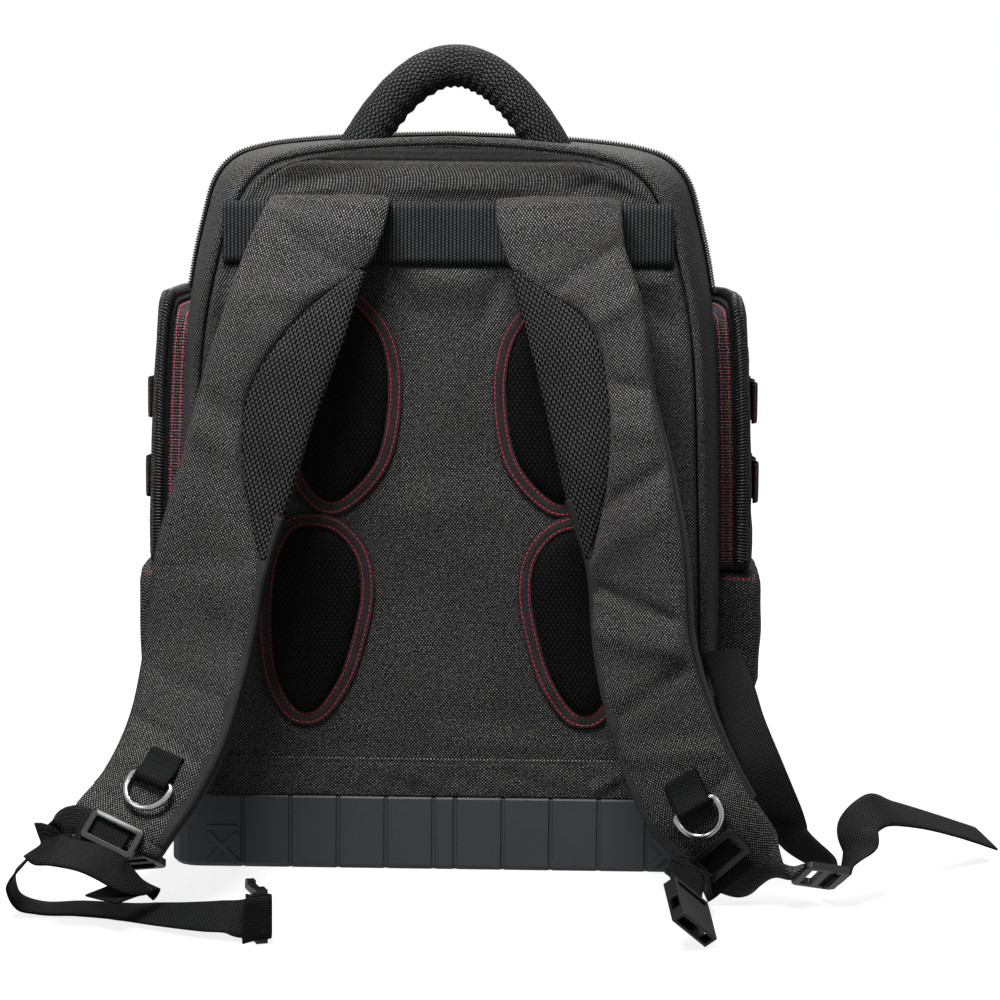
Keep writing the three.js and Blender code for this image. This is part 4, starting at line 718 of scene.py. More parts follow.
def rubber_skin():
    """Moulded rubber: fine grain from a quick noise, and scuffed patches."""
    tree, at, give = effect("rubber skin", {"Grain": 1500.0}, ["Height", "Scuff"])
    grain = tree.nodes.new("ShaderNodeTexNoise")
    tree.links.new(at["place"], grain.inputs["Vector"])
    tree.links.new(at["Grain"], grain.inputs["Scale"])
    give("Height", grain.outputs["Fac"])
    give("Scuff", noise(tree, at["place"], 40.0, 5.0))
    return tree


skin_effect = rubber_skin()


def moulded(name, dark, light, roughness, depth):
    """Moulded rubber or plastic in a plain colour, with grain and scuffs."""
    material, tree, shader, cloth, body = finish_of(name, roughness)
    skin = use(tree, skin_effect, body)
    tree.links.new(tinted(tree, skin["Scuff"], dark, light), shader.inputs["Base Color"])
    dull = calc(tree, "MULTIPLY_ADD", skin["Scuff"], 0.25, roughness - 0.12)
    tree.links.new(dull, shader.inputs["Roughness"])
    tree.links.new(raised(tree, skin["Height"], depth), shader.inputs["Normal"])
    return material


base_rubber = moulded("base_rubber", (0.032, 0.0352, 0.0405), (0.05, 0.054, 0.061), 0.55, 0.00008)


def repaint(node, material):
    """A CAD node that keeps its shape gets another material."""
    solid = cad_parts[node]
    for place in solid.material_slots:
        place.material = material
    return solid


def soften(node, width):
    """A small bevel on a CAD node's sharp edges, once its loose triangles are joined."""
    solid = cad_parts[node]
    weld = solid.modifiers.new("join", "WELD")
    weld.merge_threshold = 0.00001
    bevel = solid.modifiers.new("edges", "BEVEL")
    bevel.width = width
    bevel.segments = 2
    bevel.limit_method = "ANGLE"
    bevel.angle_limit = math.radians(32)


repaint("base_tray", base_rubber)

# Main zip
# A closed coil zip on woven tape that runs over the top of the body, just behind the panel.
zip_black = webbing_cloth("zip_tape", (0.002, 0.002, 0.0024), (0.03, 0.03, 0.031), column=0.0016,
                          chain=0.0012)
coil_black = moulded("zip_coil", (0.003, 0.003, 0.0035), (0.012, 0.012, 0.013), 0.35, 0.00002)


def body_route(depth, lift, lowest, count=260):
    """A path over the body at one depth, lifted off it, down to a height on both sides, with the way
    that the body's surface faces and the way across the path."""
    turns = np.linspace(-1, 1, count)
    path = body_point(turns, np.full(count, depth))
    near = body_point(turns, np.full(count, depth - 0.02))
    along = unit(np.gradient(path, axis=0))
    across = unit(near - path)
    out = unit(np.cross(along, across))
    out *= np.sign(np.sum(out * (path - np.array([0, 0, 200])), axis=1, keepdims=True))
    keep = path[:, 2] > lowest
    return (path + out * lift)[keep], across[keep], out[keep]


route, zip_across, zip_out = body_route(0.3, 0.7, 358.5)
main_tape = strip("main_zip_tape", route, zip_across, zip_out, 20, 1.2)
dress(main_tape, zip_black, stands_for=["main_zip"])


def coil(name, centre, across, out, width=5.2, pitch=1.7, wire=0.75, per_turn=8):
    """The teeth of a coil zip: one wire that winds from side to side over the tape, its height a
    cosine and its width a sine of the way travelled."""
    travelled = run_length(centre[:, None], 0)[:, 0]
    count = int(travelled[-1] / pitch * per_turn)
    places = np.linspace(0, travelled[-1], count)
    read = [read_at(places, travelled, rows) for rows in (centre, across, out)]
    phase = places / pitch * 2 * np.pi
    path = read[0] + read[1] * (width / 2 * np.sin(phase))[:, None]
    path = path + read[2] * (0.9 * np.cos(phase) + 0.9)[:, None]
    along = unit(np.gradient(path, axis=0))
    beside = unit(np.cross(along, read[2]))
    above = np.cross(beside, along)
    angles = np.linspace(0, 2 * np.pi, 5, endpoint=False)
    ring = rounds(beside, above, angles)
    return surface(name, path[:, None] + ring * wire / 2 * 1.3, around=True, capped=True)


main_coil = coil("main_zip_coil", route + zip_out * 0.5, zip_across, zip_out)
dress(main_coil, coil_black)

# Carry handle
# A foam tube in black spacer mesh, sewn into the top seam at both ends. The cloth is gathered along
# the inner side of its bend.
handle_span, handle_rise, handle_radius, handle_shift = 112.0, 46.0, 13.0, 3.0
handle_y = panel_face + 25


def spacer_mesh():
    """Spacer mesh: rows of long holes, each row half a step on from the next, from a product and a
    double of cosines. Hole is 1 in a hole's middle, Height is high on the threads between."""
    tree, at, give = effect("spacer mesh", {"Across": 0.0031, "Along": 0.0046}, ["Hole", "Height", "Thread"])
    a = calc(tree, "MULTIPLY", calc(tree, "DIVIDE", at["x"], at["Across"]), 2 * math.pi)
    b = calc(tree, "MULTIPLY", calc(tree, "DIVIDE", at["y"], at["Along"]), 2 * math.pi)
    both = calc(tree, "MULTIPLY", calc(tree, "COSINE", a), calc(tree, "COSINE", b))
    pair = calc(tree, "MULTIPLY", both, 2.0)
    field = calc(tree, "ADD", pair, calc(tree, "COSINE", calc(tree, "MULTIPLY", a, 2.0)))
    hole = tree.nodes.new("ShaderNodeMapRange")
    hole.interpolation_type = "SMOOTHSTEP"
    hole.inputs["From Min"].default_value = -1.2
    hole.inputs["From Max"].default_value = 0.5
    tree.links.new(field, hole.inputs["Value"])
    thread = calc(tree, "SINE", calc(tree, "MULTIPLY", at["y"], 2 * math.pi / 0.0009))
    give("Hole", hole.outputs["Result"])
    give("Height", calc(tree, "SUBTRACT", 1.0, hole.outputs["Result"]))
    give("Thread", calc(tree, "MULTIPLY_ADD", thread, 0.5, 0.5))
    return tree


mesh_effect = spacer_mesh()


def mesh_cloth(name, dark, light, across=0.0031, along=0.0046, depth=0.0012):
    """Black spacer mesh: the threads are painted lighter, a painted highlight where they would catch the
    light; the holes are nearly black.
    """
    material, tree, shader, cloth, body = finish_of(name, 0.7, gloss=0.08)
    net = use(tree, mesh_effect, cloth, Across=across, Along=along)
    patches = use(tree, wear_and_sheen_effect, body, Size=40.0)["Patches"]
    # Painted highlight: the threads between the holes are coloured lighter, in fine stripes and slow patches.
    ridge = calc(tree, "POWER", net["Height"], 2.4)
    lit = calc(tree, "MULTIPLY", ridge, calc(tree, "MULTIPLY_ADD", net["Thread"], 0.35, 0.5))
    tree.links.new(tinted(tree, calc(tree, "MULTIPLY", lit, calc(tree, "ADD", patches, 0.5)), dark, light),
                   shader.inputs["Base Color"])
    tree.links.new(raised(tree, net["Height"], depth), shader.inputs["Normal"])
    return material


mesh_black = mesh_cloth("mesh_black", (0.0005, 0.0005, 0.0006), (0.115, 0.119, 0.116))


def handle_surface():
    """The handle: a circle carried along a parabola, pinched by small gathers on its inner side."""
    share = np.linspace(-1.16, 1.16, 230)
    foot = 452.0
    path = np.stack([handle_shift + handle_span / 2 * share, np.full(len(share), handle_y),
                     foot + handle_rise * (1 - share ** 2)], axis=1)
    along = unit(np.gradient(path, axis=0))
    out = np.cross(np.tile([0.0, 1.0, 0.0], (len(share), 1)), along)
    out *= np.sign(out[:, 2:])
    toward = np.tile([0.0, -1.0, 0.0], (len(share), 1))
    angles = np.linspace(0, 2 * np.pi, 64, endpoint=False)[None, :]
    travelled = run_length(path[:, None], 0)
    inner = np.clip(-np.cos(angles) + 0.15, 0, 1)
    gathers = 0.5 * np.sin(travelled * 2 * np.pi / 7.5 + 4 * np.sin(travelled / 19)) * inner
    soft = 0.45 * waves(travelled + 0 * angles, 13 * angles + 0 * travelled, (30, 17), 31)
    radius = handle_radius + gathers + soft
    points = path[:, None] + rounds(out, toward, angles) * radius[..., None]
    return points[path[:, 2] > 441]


handle = surface("handle_grip", handle_surface(), around=True, capped=True)
dress(handle, mesh_black, stands_for=["carry_handle"])

# Back pads
# Four domed pads of black spacer mesh over foam. Each is let into the panel inside a ribbed border,
# which is sewn down along both its edges with red thread.
border_width, pad_rise = 9.0, 8.0


def rounded_loop(rows, count):
    """A closed smooth curve through rows of points, read at evenly spaced places: a cubic whose
    tangent at each point runs from its neighbour before to the one after."""
    rows = np.asarray(rows, float)
    before, after = np.roll(rows, 1, axis=0), np.roll(rows, -1, axis=0)
    tangent = (after - before) / 2
    t = np.linspace(0, 1, 40, endpoint=False)[None, :, None]
    nxt, nxt_tangent = np.roll(rows, -1, axis=0), np.roll(tangent, -1, axis=0)
    square, cube = t ** 2, t ** 3
    dense = ((2 * cube - 3 * square + 1) * rows[:, None] + (cube - 2 * square + t) * tangent[:, None]
             + (3 * square - 2 * cube) * nxt[:, None] + (cube - square) * nxt_tangent[:, None])
    dense = dense.reshape(-1, 2)
    closed = np.concatenate([dense, dense[:1]])
    travelled = np.concatenate([[0], np.cumsum(np.hypot(*np.diff(closed, axis=0).T))])
    places = np.linspace(0, travelled[-1], count, endpoint=False)
    return np.stack([np.interp(places, travelled, closed[:, k]) for k in range(2)], axis=1)


def pad_outline(level, side, inset, count=160):
    """A pad's outline in the plane of the panel, moved in by inset."""
    rows = [(-side * row["x"] * half_panel, row["z"] * bag_height) for row in pad_tables[level]]
    loop = rounded_loop(rows, count)
    way = unit(np.roll(loop, -1, axis=0) - np.roll(loop, 1, axis=0))
    inward = np.stack([-way[:, 1], way[:, 0]], axis=1)
    middle = loop.mean(axis=0)
    inward *= np.sign(np.sum(inward * (middle - loop), axis=1).mean())
    return loop + inward * inset


def flat_uv(points):
    """A map for a piece that lies in the plane of the panel: x and z as they are."""
    wrapped = np.concatenate([points, points[:, :1]], axis=1)
    return wrapped[..., [0, 2]]


def pad_surface(level, side):
    """A pad: rounds of its outline, each further in and further out from the panel, on a quarter of a
    squared-off circle, with a little sag in the foam."""
    back = panel_face - 0.3
    inward = np.linspace(0, 1, 22)[1:]
    insets = np.concatenate([[0.4, 0.4], 0.4 + 15 * inward ** 1.3])
    lifts = np.concatenate([[0.0, 1.5], 1.5 + (pad_rise - 1.5) * (1 - (1 - inward) ** 2.3) ** 0.8])
    rings = []
    for inset, lift in zip(insets, lifts):
        loop = pad_outline(level, side, border_width + inset)
        rings.append(np.stack([loop[:, 0], np.full(len(loop), back - lift), loop[:, 1]], axis=1))
    last = rings[-1]
    middle = last.mean(axis=0)
    for share in np.linspace(0.1, 0.96, 12):
        rings.append(last + (middle - last) * share)
    points = np.array(rings)
    sag = 0.5 * waves(points[..., 0], points[..., 2], (44, 30), 41 + side)
    points[..., 1] += sag * np.clip((back - points[..., 1]) / pad_rise, 0, 1)
    return points


def ribbed_cloth(name, dark, light, pitch=0.0012):
    """Ribbed binding: narrow ribs across its length, their tops painted lighter as a painted highlight."""
    material, tree, shader, cloth, body = finish_of(name, 0.6, gloss=0.15)
    ribs = use(tree, ribs_effect, cloth, Column=0.0011, Chain=pitch)
    patches = use(tree, wear_and_sheen_effect, body, Size=60.0)["Patches"]
    # Painted highlight: rib tops coloured towards the light colour, stronger in the slow patches.
    lit = calc(tree, "MULTIPLY", ribs["Height"], calc(tree, "ADD", patches, 0.3))
    tree.links.new(tinted(tree, lit, dark, light), shader.inputs["Base Color"])
    tree.links.new(raised(tree, ribs["Height"], 0.0003), shader.inputs["Normal"])
    return material


binding_black = ribbed_cloth("binding_black", (0.0015, 0.0015, 0.0018), (0.07, 0.07, 0.07))
thread_red, thread_tree, thread_shader, _, thread_body = finish_of("thread_red", 0.55, sheen=0.1)
thread_shade = calc(thread_tree, "MULTIPLY_ADD", noise(thread_tree, thread_body, 900.0, 2.0), 0.8, 0.1)
thread_tree.links.new(tinted(thread_tree, thread_shade, (0.4, 0.004, 0.02), (0.95, 0.02, 0.07)),
                      thread_shader.inputs["Base Color"])


def stitches(name, path, out, step=3.1, length=2.5, width=0.75, closed=False, body="bag", sink=0.1):
    """A row of stitches: small half-round beads of thread, set along a path at even steps. Each bead
    is a grid of a few points, high in its middle and tucked in at its ends."""
    path = np.concatenate([path, path[:1]]) if closed else path
    out = np.concatenate([out, out[:1]]) if closed else out
    travelled = run_length(path[:, None], 0)[:, 0]
    count = max(int(travelled[-1] / step), 2)
    middles = (np.arange(count) + 0.5) * travelled[-1] / count
    centre, lift = read_at(middles, travelled, path), unit(read_at(middles, travelled, out))
    along = unit(read_at(middles + 0.5, travelled, path) - read_at(middles - 0.5, travelled, path))
    beside = unit(np.cross(lift, along))
    s = np.array([-1, -0.6, 0, 0.6, 1.0])
    w = np.array([-1, -0.5, 0.5, 1.0])
    S, W = np.meshgrid(s, w, indexing="ij")
    thin = np.sqrt(np.clip(1.15 - S ** 2, 0, 1))
    high = width * 0.55 * (thin * (1.05 - W ** 2) + 0.1) - sink
    offset = (along[:, None, None] * (S * length / 2)[None, ..., None]
              + beside[:, None, None] * (W * thin * width / 2)[None, ..., None]
              + lift[:, None, None] * high[None, ..., None])
    points = (centre[:, None, None] + offset).reshape(-1, 3)
    ids = np.arange(len(s) * len(w)).reshape(len(s), len(w))
    quad = np.stack([ids[:-1, :-1], ids[1:, :-1], ids[1:, 1:], ids[:-1, 1:]], axis=-1).reshape(-1, 4)[:, ::-1]
    quads = (quad[None] + (np.arange(count) * ids.size)[:, None, None]).reshape(-1, 4)
    corners = np.zeros((quads.size, 2))
    piece = mesh_piece(name, points, quads.reshape(-1), np.full(len(quads), 4), corners)
    return dress(piece, thread_red, body)


pad_cover = mesh_cloth("pad_mesh", (0.0005, 0.0005, 0.0006), (0.017, 0.018, 0.0175))
for level in ("upper", "lower"):
    for side, name in ((-1, "left"), (1, "right")):
        points = pad_surface(level, side)
        pad = surface(f"back_pad_{level}_{name}", points, around=True, capped=True, uv=flat_uv(points))
        dress(pad, pad_cover, stands_for=[f"pad_{level}_{name}"])
        profile = [(0.0, -0.2), (0.0, 1.5), (0.7, 2.1), (2.0, 1.7), (3.2, 2.2), (5.8, 2.25), (7.0, 1.7),
                   (8.3, 2.1), (9.0, 1.6), (9.0, -0.2)]
        rings = []
        for inset, lift in profile:
            loop = pad_outline(level, side, inset)
            rings.append(np.stack([loop[:, 0], np.full(len(loop), panel_face - 0.1 - lift), loop[:, 1]],
                                  axis=1))
        rings = np.array(rings).transpose(1, 0, 2)
        travelled = run_length(np.concatenate([rings[:, 4], rings[:1, 4]])[:, None], 0)
        across = np.array([inset for inset, lift in profile] + [0.0])
        uv = np.stack(np.broadcast_arrays(across[None, :], travelled[:len(rings)]), axis=-1)
        joined = np.stack([across, np.full(len(across), travelled[-1, 0])], axis=-1)
        loop_uv = np.concatenate([uv, joined[None]])
        border = surface(f"pad_binding_{level}_{name}", rings, around=True, uv=loop_uv, flip=side > 0,
                         looped=True)
        dress(border, binding_black, stands_for=[f"pad_border_{level}_{name}"])
        for seam, inset in (("outer", 1.9), ("inner", 7.1)):
            loop = pad_outline(level, side, inset, 240)
            path = np.stack([loop[:, 0], np.full(len(loop), panel_face - 1.9), loop[:, 1]], axis=1)
            stitches(f"pad_stitches_{level}_{name}_{seam}", path, np.tile([0.0, -1.0, 0.0], (len(path), 1)),
                     closed=True)

# Side pockets
# On each side a zipped pocket over a plain pouch, both of the same nylon, boxed out from the body.
# The pocket's zip runs round its edge, and two rows of webbing loops are sewn over its outer face.
pocket_depth, pocket_back = 118.0, panel_face + 56
side_sizes = {
    "pocket": {"bottom": 182.3, "top": 358.0, "slope": 18.0, "spread": 20.0, "narrow": 1.0,
               "low_corner": 6.0},
    "pouch": {"bottom": 50.0, "top": 181.7, "slope": 0.0, "spread": 26.0, "narrow": 0.35, "low_corner": 26.0},
}


def side_at(y, z):
    """Half the body's width at a height and a place along the depth."""
    up = (z - shell_bottom) / shell_height
    blend, grow, rise = section_at((y - shell_back) / (shell_depth - front_lean * up))
    return width_at(up / rise, blend) * grow


def pocket_outline(size, inset, fall, per_corner=7, per_edge=14):
    """Round of a pocket seen from its side: a rectangle with rounded corners, moved in by inset and
    let down at its top by fall. Returns y and z, starting at the foot's front corner."""
    front, bottom, top = pocket_back + pocket_depth, size["bottom"], size["top"]
    corners = [(front, bottom, size["low_corner"], -90), (front, top, 14, 0),
               (pocket_back, top, 14, 90), (pocket_back, bottom, size["low_corner"], 180)]
    arcs = []
    for y, z, radius, start in corners:
        to_y, to_z = (-1 if y == front else 1), (1 if z == bottom else -1)
        tight = max(radius - inset, 1.0)
        angle = np.radians(start + np.linspace(0, 90, per_corner))
        centre_y = y + to_y * (tight + inset)
        centre_z = z + to_z * (tight + inset) - (fall if z == top else 0)
        arcs.append(np.stack([centre_y + tight * np.cos(angle), centre_z + tight * np.sin(angle)], axis=1))
    parts = []
    for arc, nxt in zip(arcs, arcs[1:] + arcs[:1]):
        share = np.linspace(0, 1, per_edge + 2)[1:-1, None]
        parts += [arc, arc[-1] + (nxt[0] - arc[-1]) * share]
    loop = np.concatenate(parts)
    return loop[:, 0], loop[:, 1]


def pocket_ring(size, side, inset, share):
    """A round of the pocket's surface: its outline, standing out from the body by a share of its
    spread."""
    y, z = pocket_outline(size, inset, size["slope"] * max(1 - share, 0))
    high = np.clip(2.2 * (z - size["bottom"]) / (size["top"] - size["bottom"]), 0, 1)
    stand = size["spread"] * (size["narrow"] + (1 - size["narrow"]) * high)
    return np.stack([side * (side_at(y, z) + stand * share), y, z], axis=1)


def pocket_skin(size, side, seed):
    """The pocket: its sides stand out from the body, roll over a sewn edge and crown to a middle."""
    rings = [pocket_ring(size, side, 0, share) for share in np.linspace(-0.08, 0.86, 12)]
    for turn in np.linspace(0, 1, 9)[1:]:
        angle = turn * math.pi / 2
        rings.append(pocket_ring(size, side, 5 * (1 - math.cos(angle)), 0.86 + 0.14 * math.sin(angle)))
    for inset in np.linspace(5, 44, 22)[1:]:
        rings.append(pocket_ring(size, side, inset, 1.0 + 0.06 * math.sin(min(inset / 30, 1) * math.pi / 2)))
    last = rings[-1]
    for share in np.linspace(0.15, 0.95, 8):
        rings.append(last + (last.mean(axis=0) - last) * share)
    points = np.array(rings)
    free = np.clip(np.arange(len(points)) / 4 - 0.5, 0, 1)[:, None]
    relief = 1.3 * waves(points[..., 1], points[..., 2], (46, 28), seed) * free
    points[..., 0] += side * relief * np.linspace(0, 1, len(points))[:, None] ** 0.5
    return points


for side, name in ((-1, "left"), (1, "right")):
    pocket_size, pouch_size = side_sizes["pocket"], side_sizes["pouch"]
    for kind, size, seed in (("pocket", pocket_size, 51), ("pouch", pouch_size, 57)):
        piece = surface(f"side_{kind}_cloth_{name}", pocket_skin(size, side, seed + side), around=True,
                        capped=True)
        dress(piece, bag_weave, stands_for=[f"side_{kind}_{name}"])
    low, high = pocket_ring(pocket_size, side, 0, 0.45), pocket_ring(pocket_size, side, 0, 0.87)
    count = len(low)
    off_middle = np.abs(low[:, 1] - (pocket_back + pocket_depth / 2))
    start = int(np.argmin(off_middle + 3 * np.abs(low[:, 2] - pocket_size["bottom"])))
    order = (np.arange(count) + start) % count
    low, high = low[order], high[order]
    keep = low[:, 2] > pocket_size["bottom"] + 5
    low, high = low[keep], high[keep]
    dense = np.linspace(0, 1, 240)
    spot = np.linspace(0, 1, len(low))
    low = read_at(dense, spot, low)
    high = read_at(dense, spot, high)
    middle = (low + high) / 2
    across = unit(high - low)
    along = unit(np.gradient(middle, axis=0))
    out = unit(np.cross(along, across))
    heart = np.array([side * 150, pocket_back + pocket_depth / 2, 270])
    out *= np.sign(np.sum(out * (middle - heart), axis=1).sum())
    tape = strip(f"pocket_zip_tape_{name}", middle + out * 0.9, across, out,
                 np.linalg.norm(high - low, axis=1), 1.2)
    dress(tape, zip_black, stands_for=[f"pocket_zip_{name}"])
    winding = coil(f"pocket_zip_coil_{name}", middle + across * 1.6 + out * 1.3, across, out, width=6.4,
                   pitch=2.0, wire=0.95)
    dress(winding, coil_black)
    for seam, share in (("inner", 0.12), ("outer", 0.36)):
        ring = pocket_ring(pocket_size, side, 0, share)[order][keep]
        ring = read_at(dense, spot, ring)
        stitches(f"pocket_stitches_{name}_{seam}", ring + out * 0.1, out)
    hem_z = pouch_size["top"] - 4.5
    hem_x = side_at(pocket_back, hem_z) + pouch_size["spread"] * np.linspace(0.1, 0.93, 30)
    hem_row = np.stack([side * hem_x, np.full(30, pocket_back - 0.2), np.full(30, hem_z)], axis=1)
    stitches(f"pouch_hem_stitches_{name}", hem_row, np.tile([0.0, -1.0, 0.0], (30, 1)))
    loop_wide, loop_thick = 25, 1.6
    for height, tag in zip((236, 287), ("lower", "upper")):
        steps = np.linspace(0, 1, 120)
        y = pocket_back + 18 + (pocket_depth - 36) * steps
        hump = np.abs(np.sin(np.pi * 3 * steps)) ** 0.6
        cloth_face = side_at(y, np.full(len(y), float(height))) + pocket_size["spread"] * 1.06
        face = cloth_face + 1.2 + 3.3 * hump
        centre = np.stack([side * face, y, np.full(len(y), float(height))], axis=1)
        row_up = np.tile([0.0, 0.0, 1.0], (len(y), 1))
        row_out = unit(np.cross(np.gradient(centre, axis=0), row_up))
        row_out *= np.sign(row_out[:, :1] * side)
        loops = strip(f"side_loop_webbing_{tag}_{name}", centre, row_up, row_out, loop_wide, loop_thick)
        dress(loops, webbing_black, stands_for=[f"side_loops_{tag}_{name}"])
        for index, place in enumerate((0.012, 1 / 3, 2 / 3, 0.988)):
            spot = int(place * (len(y) - 1))
            row_z = height + np.linspace(-11, 11, 12)
            row = np.stack([np.full(12, side * (face[spot] + 0.9)), np.full(12, y[spot]), row_z], axis=1)
            stitches(f"loop_bartack_{tag}_{index}_{name}", row, np.tile([float(side), 0.0, 0.0], (12, 1)),
                     step=2.2)

# Shoulder straps
# Each strap is foam between two nylon faces, sewn to the band and folded over it. Its inner edge is
# cut back in an arc that is filled with spacer mesh, and bound with ribbed tape lower down.
strap_width, strap_thickness = 75.0, 16.0
strap_root = panel_face - 0.3 - 1.8 - 0.3
strap_tables = {
    "left": listed(
        "x ahead z width thick mesh turn",
        (-0.43, 0, 0.911, 0.973, 0.5, 0, 0), (-0.43, 0.05, 0.911, 0.973, 0.56, 0, 0),
        (-0.447, 0.093, 0.887, 0.973, 0.63, 0, 0), (-0.508, 0.122, 0.835, 0.98, 0.75, 0.1, 0),
        (-0.579, 0.17, 0.756, 1.0, 0.94, 0.42, 0), (-0.669, 0.217, 0.653, 0.96, 1, 0.57, 0),
        (-0.747, 0.255, 0.549, 0.93, 1, 0.38, 3), (-0.83, 0.284, 0.444, 0.92, 1, 0.02, 8),
        (-0.876, 0.322, 0.327, 0.9, 1, 0, 14), (-0.932, 0.42, 0.229, 0.89, 0.95, 0, 18),
        (-1.02, 0.5, 0.16, 0.85, 0.85, 0, 14), (-1.117, 0.565, 0.113, 0.82, 0.72, 0, 5),
        (-1.148, 0.585, 0.09, 0.78, 0.6, 0, 0), (-1.12, 0.525, 0.074, 0.45, 0.4, 0, 0),
    ),
    "right": listed(
        "x ahead z width thick mesh turn",
        (0.405, 0, 0.911, 1.013, 0.5, 0, 0), (0.405, 0.05, 0.911, 1.02, 0.56, 0, 0),
        (0.412, 0.093, 0.889, 1.0, 0.63, 0, 0), (0.44, 0.122, 0.838, 0.95, 0.75, 0.06, 0),
        (0.506, 0.17, 0.76, 0.96, 0.94, 0.48, 4), (0.559, 0.217, 0.657, 0.88, 1, 0.52, 10),
        (0.627, 0.255, 0.554, 0.9, 1, 0.37, 18), (0.698, 0.274, 0.45, 0.86, 1, 0.03, 28),
        (0.73, 0.293, 0.332, 0.86, 1, 0, 30), (0.812, 0.335, 0.224, 0.87, 0.95, 0, 24),
        (0.945, 0.38, 0.125, 0.86, 0.85, 0, 18), (1.145, 0.385, 0.054, 0.68, 0.65, 0, 18),
        (1.295, 0.365, 0.044, 0.35, 0.4, 0, 14),
    ),
}
strap_folds = {
    "left": listed(
        "at tilt width height",
        (0.035, 0.0, 3.0, 1.4), (0.1, 0.25, 5.0, -1.4), (0.17, -0.3, 8.0, 1.4),
        (0.36, 0.35, 7.0, -1.8), (0.4, 0.3, 8.0, 1.6), (0.55, -0.25, 9.0, -1.2),
        (0.72, 0.3, 7.0, -1.6), (0.8, 0.35, 5.0, -1.8), (0.84, -0.2, 6.0, 1.2),
        (0.9, -0.3, 5.0, -1.6),
    ),
    "right": listed(
        "at tilt width height",
        (0.035, 0.0, 3.0, 1.4), (0.13, 0.35, 6.0, -1.8), (0.2, 0.3, 6.0, 2.0),
        (0.27, -0.35, 6.0, -2.4), (0.33, -0.3, 9.0, 2.0), (0.42, 0.3, 6.0, -2.6),
        (0.47, 0.35, 9.0, 2.2), (0.56, -0.4, 5.0, -2.4), (0.61, -0.3, 8.0, 2.2),
        (0.68, 0.35, 6.0, -2.2), (0.76, -0.3, 7.0, 1.6), (0.84, 0.4, 6.0, -1.8),
    ),
}
inner_side = {"left": 1, "right": -1}


def ribbon(centre, hint):
    """Frames along a row of points: the way it runs, the way across it (the hint, made square to it)
    and the way its outer face looks."""
    along = unit(np.gradient(centre, axis=0))
    across = unit(hint - np.sum(hint * along, axis=1, keepdims=True) * along)
    return along, across, np.cross(along, across)


def strap_frames(name, shares):
    """A strap's stations at shares of its length, in millimetres."""
    rows = [{**row, "x": row["x"] * half_panel, "y": strap_root - row["ahead"] * bag_depth,
             "z": row["z"] * bag_height} for row in strap_tables[name]]
    step = 0.002
    read = smooth(rows, ["x", "y", "z"], shares)
    low = smooth(rows, ["x", "y", "z"], np.maximum(shares - step, 0))
    high = smooth(rows, ["x", "y", "z"], np.minimum(shares + step, 1))
    place = lambda table: np.stack([table["x"], table["y"], table["z"]], axis=1)
    point = place(read)
    along = unit(place(high) - place(low))
    hint = np.tile([1.0, 0.0, 0.0], (len(point), 1))
    across = unit(hint - np.sum(hint * along, axis=1, keepdims=True) * along)
    angle = np.radians(read["turn"])[:, None]
    across = across * np.cos(angle) + np.cross(along, across) * np.sin(angle)
    mesh = np.where(read["mesh"] > 0.06, read["mesh"], 0) * strap_width
    return {"point": point, "along": along, "across": across, "out": np.cross(along, across),
            "width": read["width"] * strap_width, "thick": read["thick"] * strap_thickness,
            "mesh": mesh, "smooth_mesh": np.clip(read["mesh"], 0, 1) * strap_width}


def strap_surface(name):
    """A strap's nylon: at each station a flat pillow from the outer edge to the mesh or the inner
    edge. Its faces are a power of a cosine, and folds from the table cross the outer one."""
    shares = np.linspace(0, 1, 330)
    frames = strap_frames(name, shares)
    half = frames["width"] / 2
    edge = half - frames["smooth_mesh"] * np.clip((frames["smooth_mesh"] - 1) / 4, 0, 1)
    angles = np.linspace(0, 2 * np.pi, 72, endpoint=False)
    flat = squared_off(np.cos(angles), 0.55)
    high = squared_off(np.sin(angles), 0.75)
    middle, reach = (edge - half) / 2, (edge + half) / 2
    across = middle[:, None] + reach[:, None] * flat[None, :]
    lift = frames["thick"][:, None] / 2 * high[None, :]
    travelled = run_length(frames["point"][:, None], 0)
    length = travelled[-1, 0]
    relief = 0.7 * waves(across, travelled + 0 * across, (52, 33), 61 + inner_side[name])
    for fold in strap_folds[name]:
        line = travelled - fold["at"] * length - fold["tilt"] * across
        relief += fold["height"] * np.exp(-(line / fold["width"]) ** 2)
    facing = np.clip(high[None, :] * 1.6, 0, 1) * np.clip((1 - np.abs(flat[None, :])) * 5, 0.15, 1)
    lift = lift + relief * facing
    across = inner_side[name] * across
    return laid(frames["point"], frames["across"], frames["out"], across, lift)


def strap_mesh_surface(name):
    """The mesh inset: a thinner pillow from the nylon's cut edge to the strap's inner edge, where its
    width is more than nothing."""
    shares = np.linspace(0, 1, 420)
    frames = strap_frames(name, shares)
    keep = frames["mesh"] > 0
    frames = {key: value[keep] for key, value in frames.items()}
    half = frames["width"] / 2
    start = half - frames["mesh"] - 1.5
    angles = np.linspace(0, 2 * np.pi, 56, endpoint=False)
    flat = squared_off(np.cos(angles), 0.6)
    high = squared_off(np.sin(angles), 0.8)
    across = ((start + half) / 2)[:, None] + ((half - start) / 2)[:, None] * flat[None, :]
    lift = 0.36 * frames["thick"][:, None] * high[None, :]
    across = inner_side[name] * across
    points = laid(frames["point"], frames["across"], frames["out"], across, lift)
    travelled = run_length(frames["point"][:, None], 0)
    wide = np.concatenate([across, across[:, :1]], axis=1)
    return points, np.stack([wide, np.broadcast_to(travelled, wide.shape)], axis=-1)


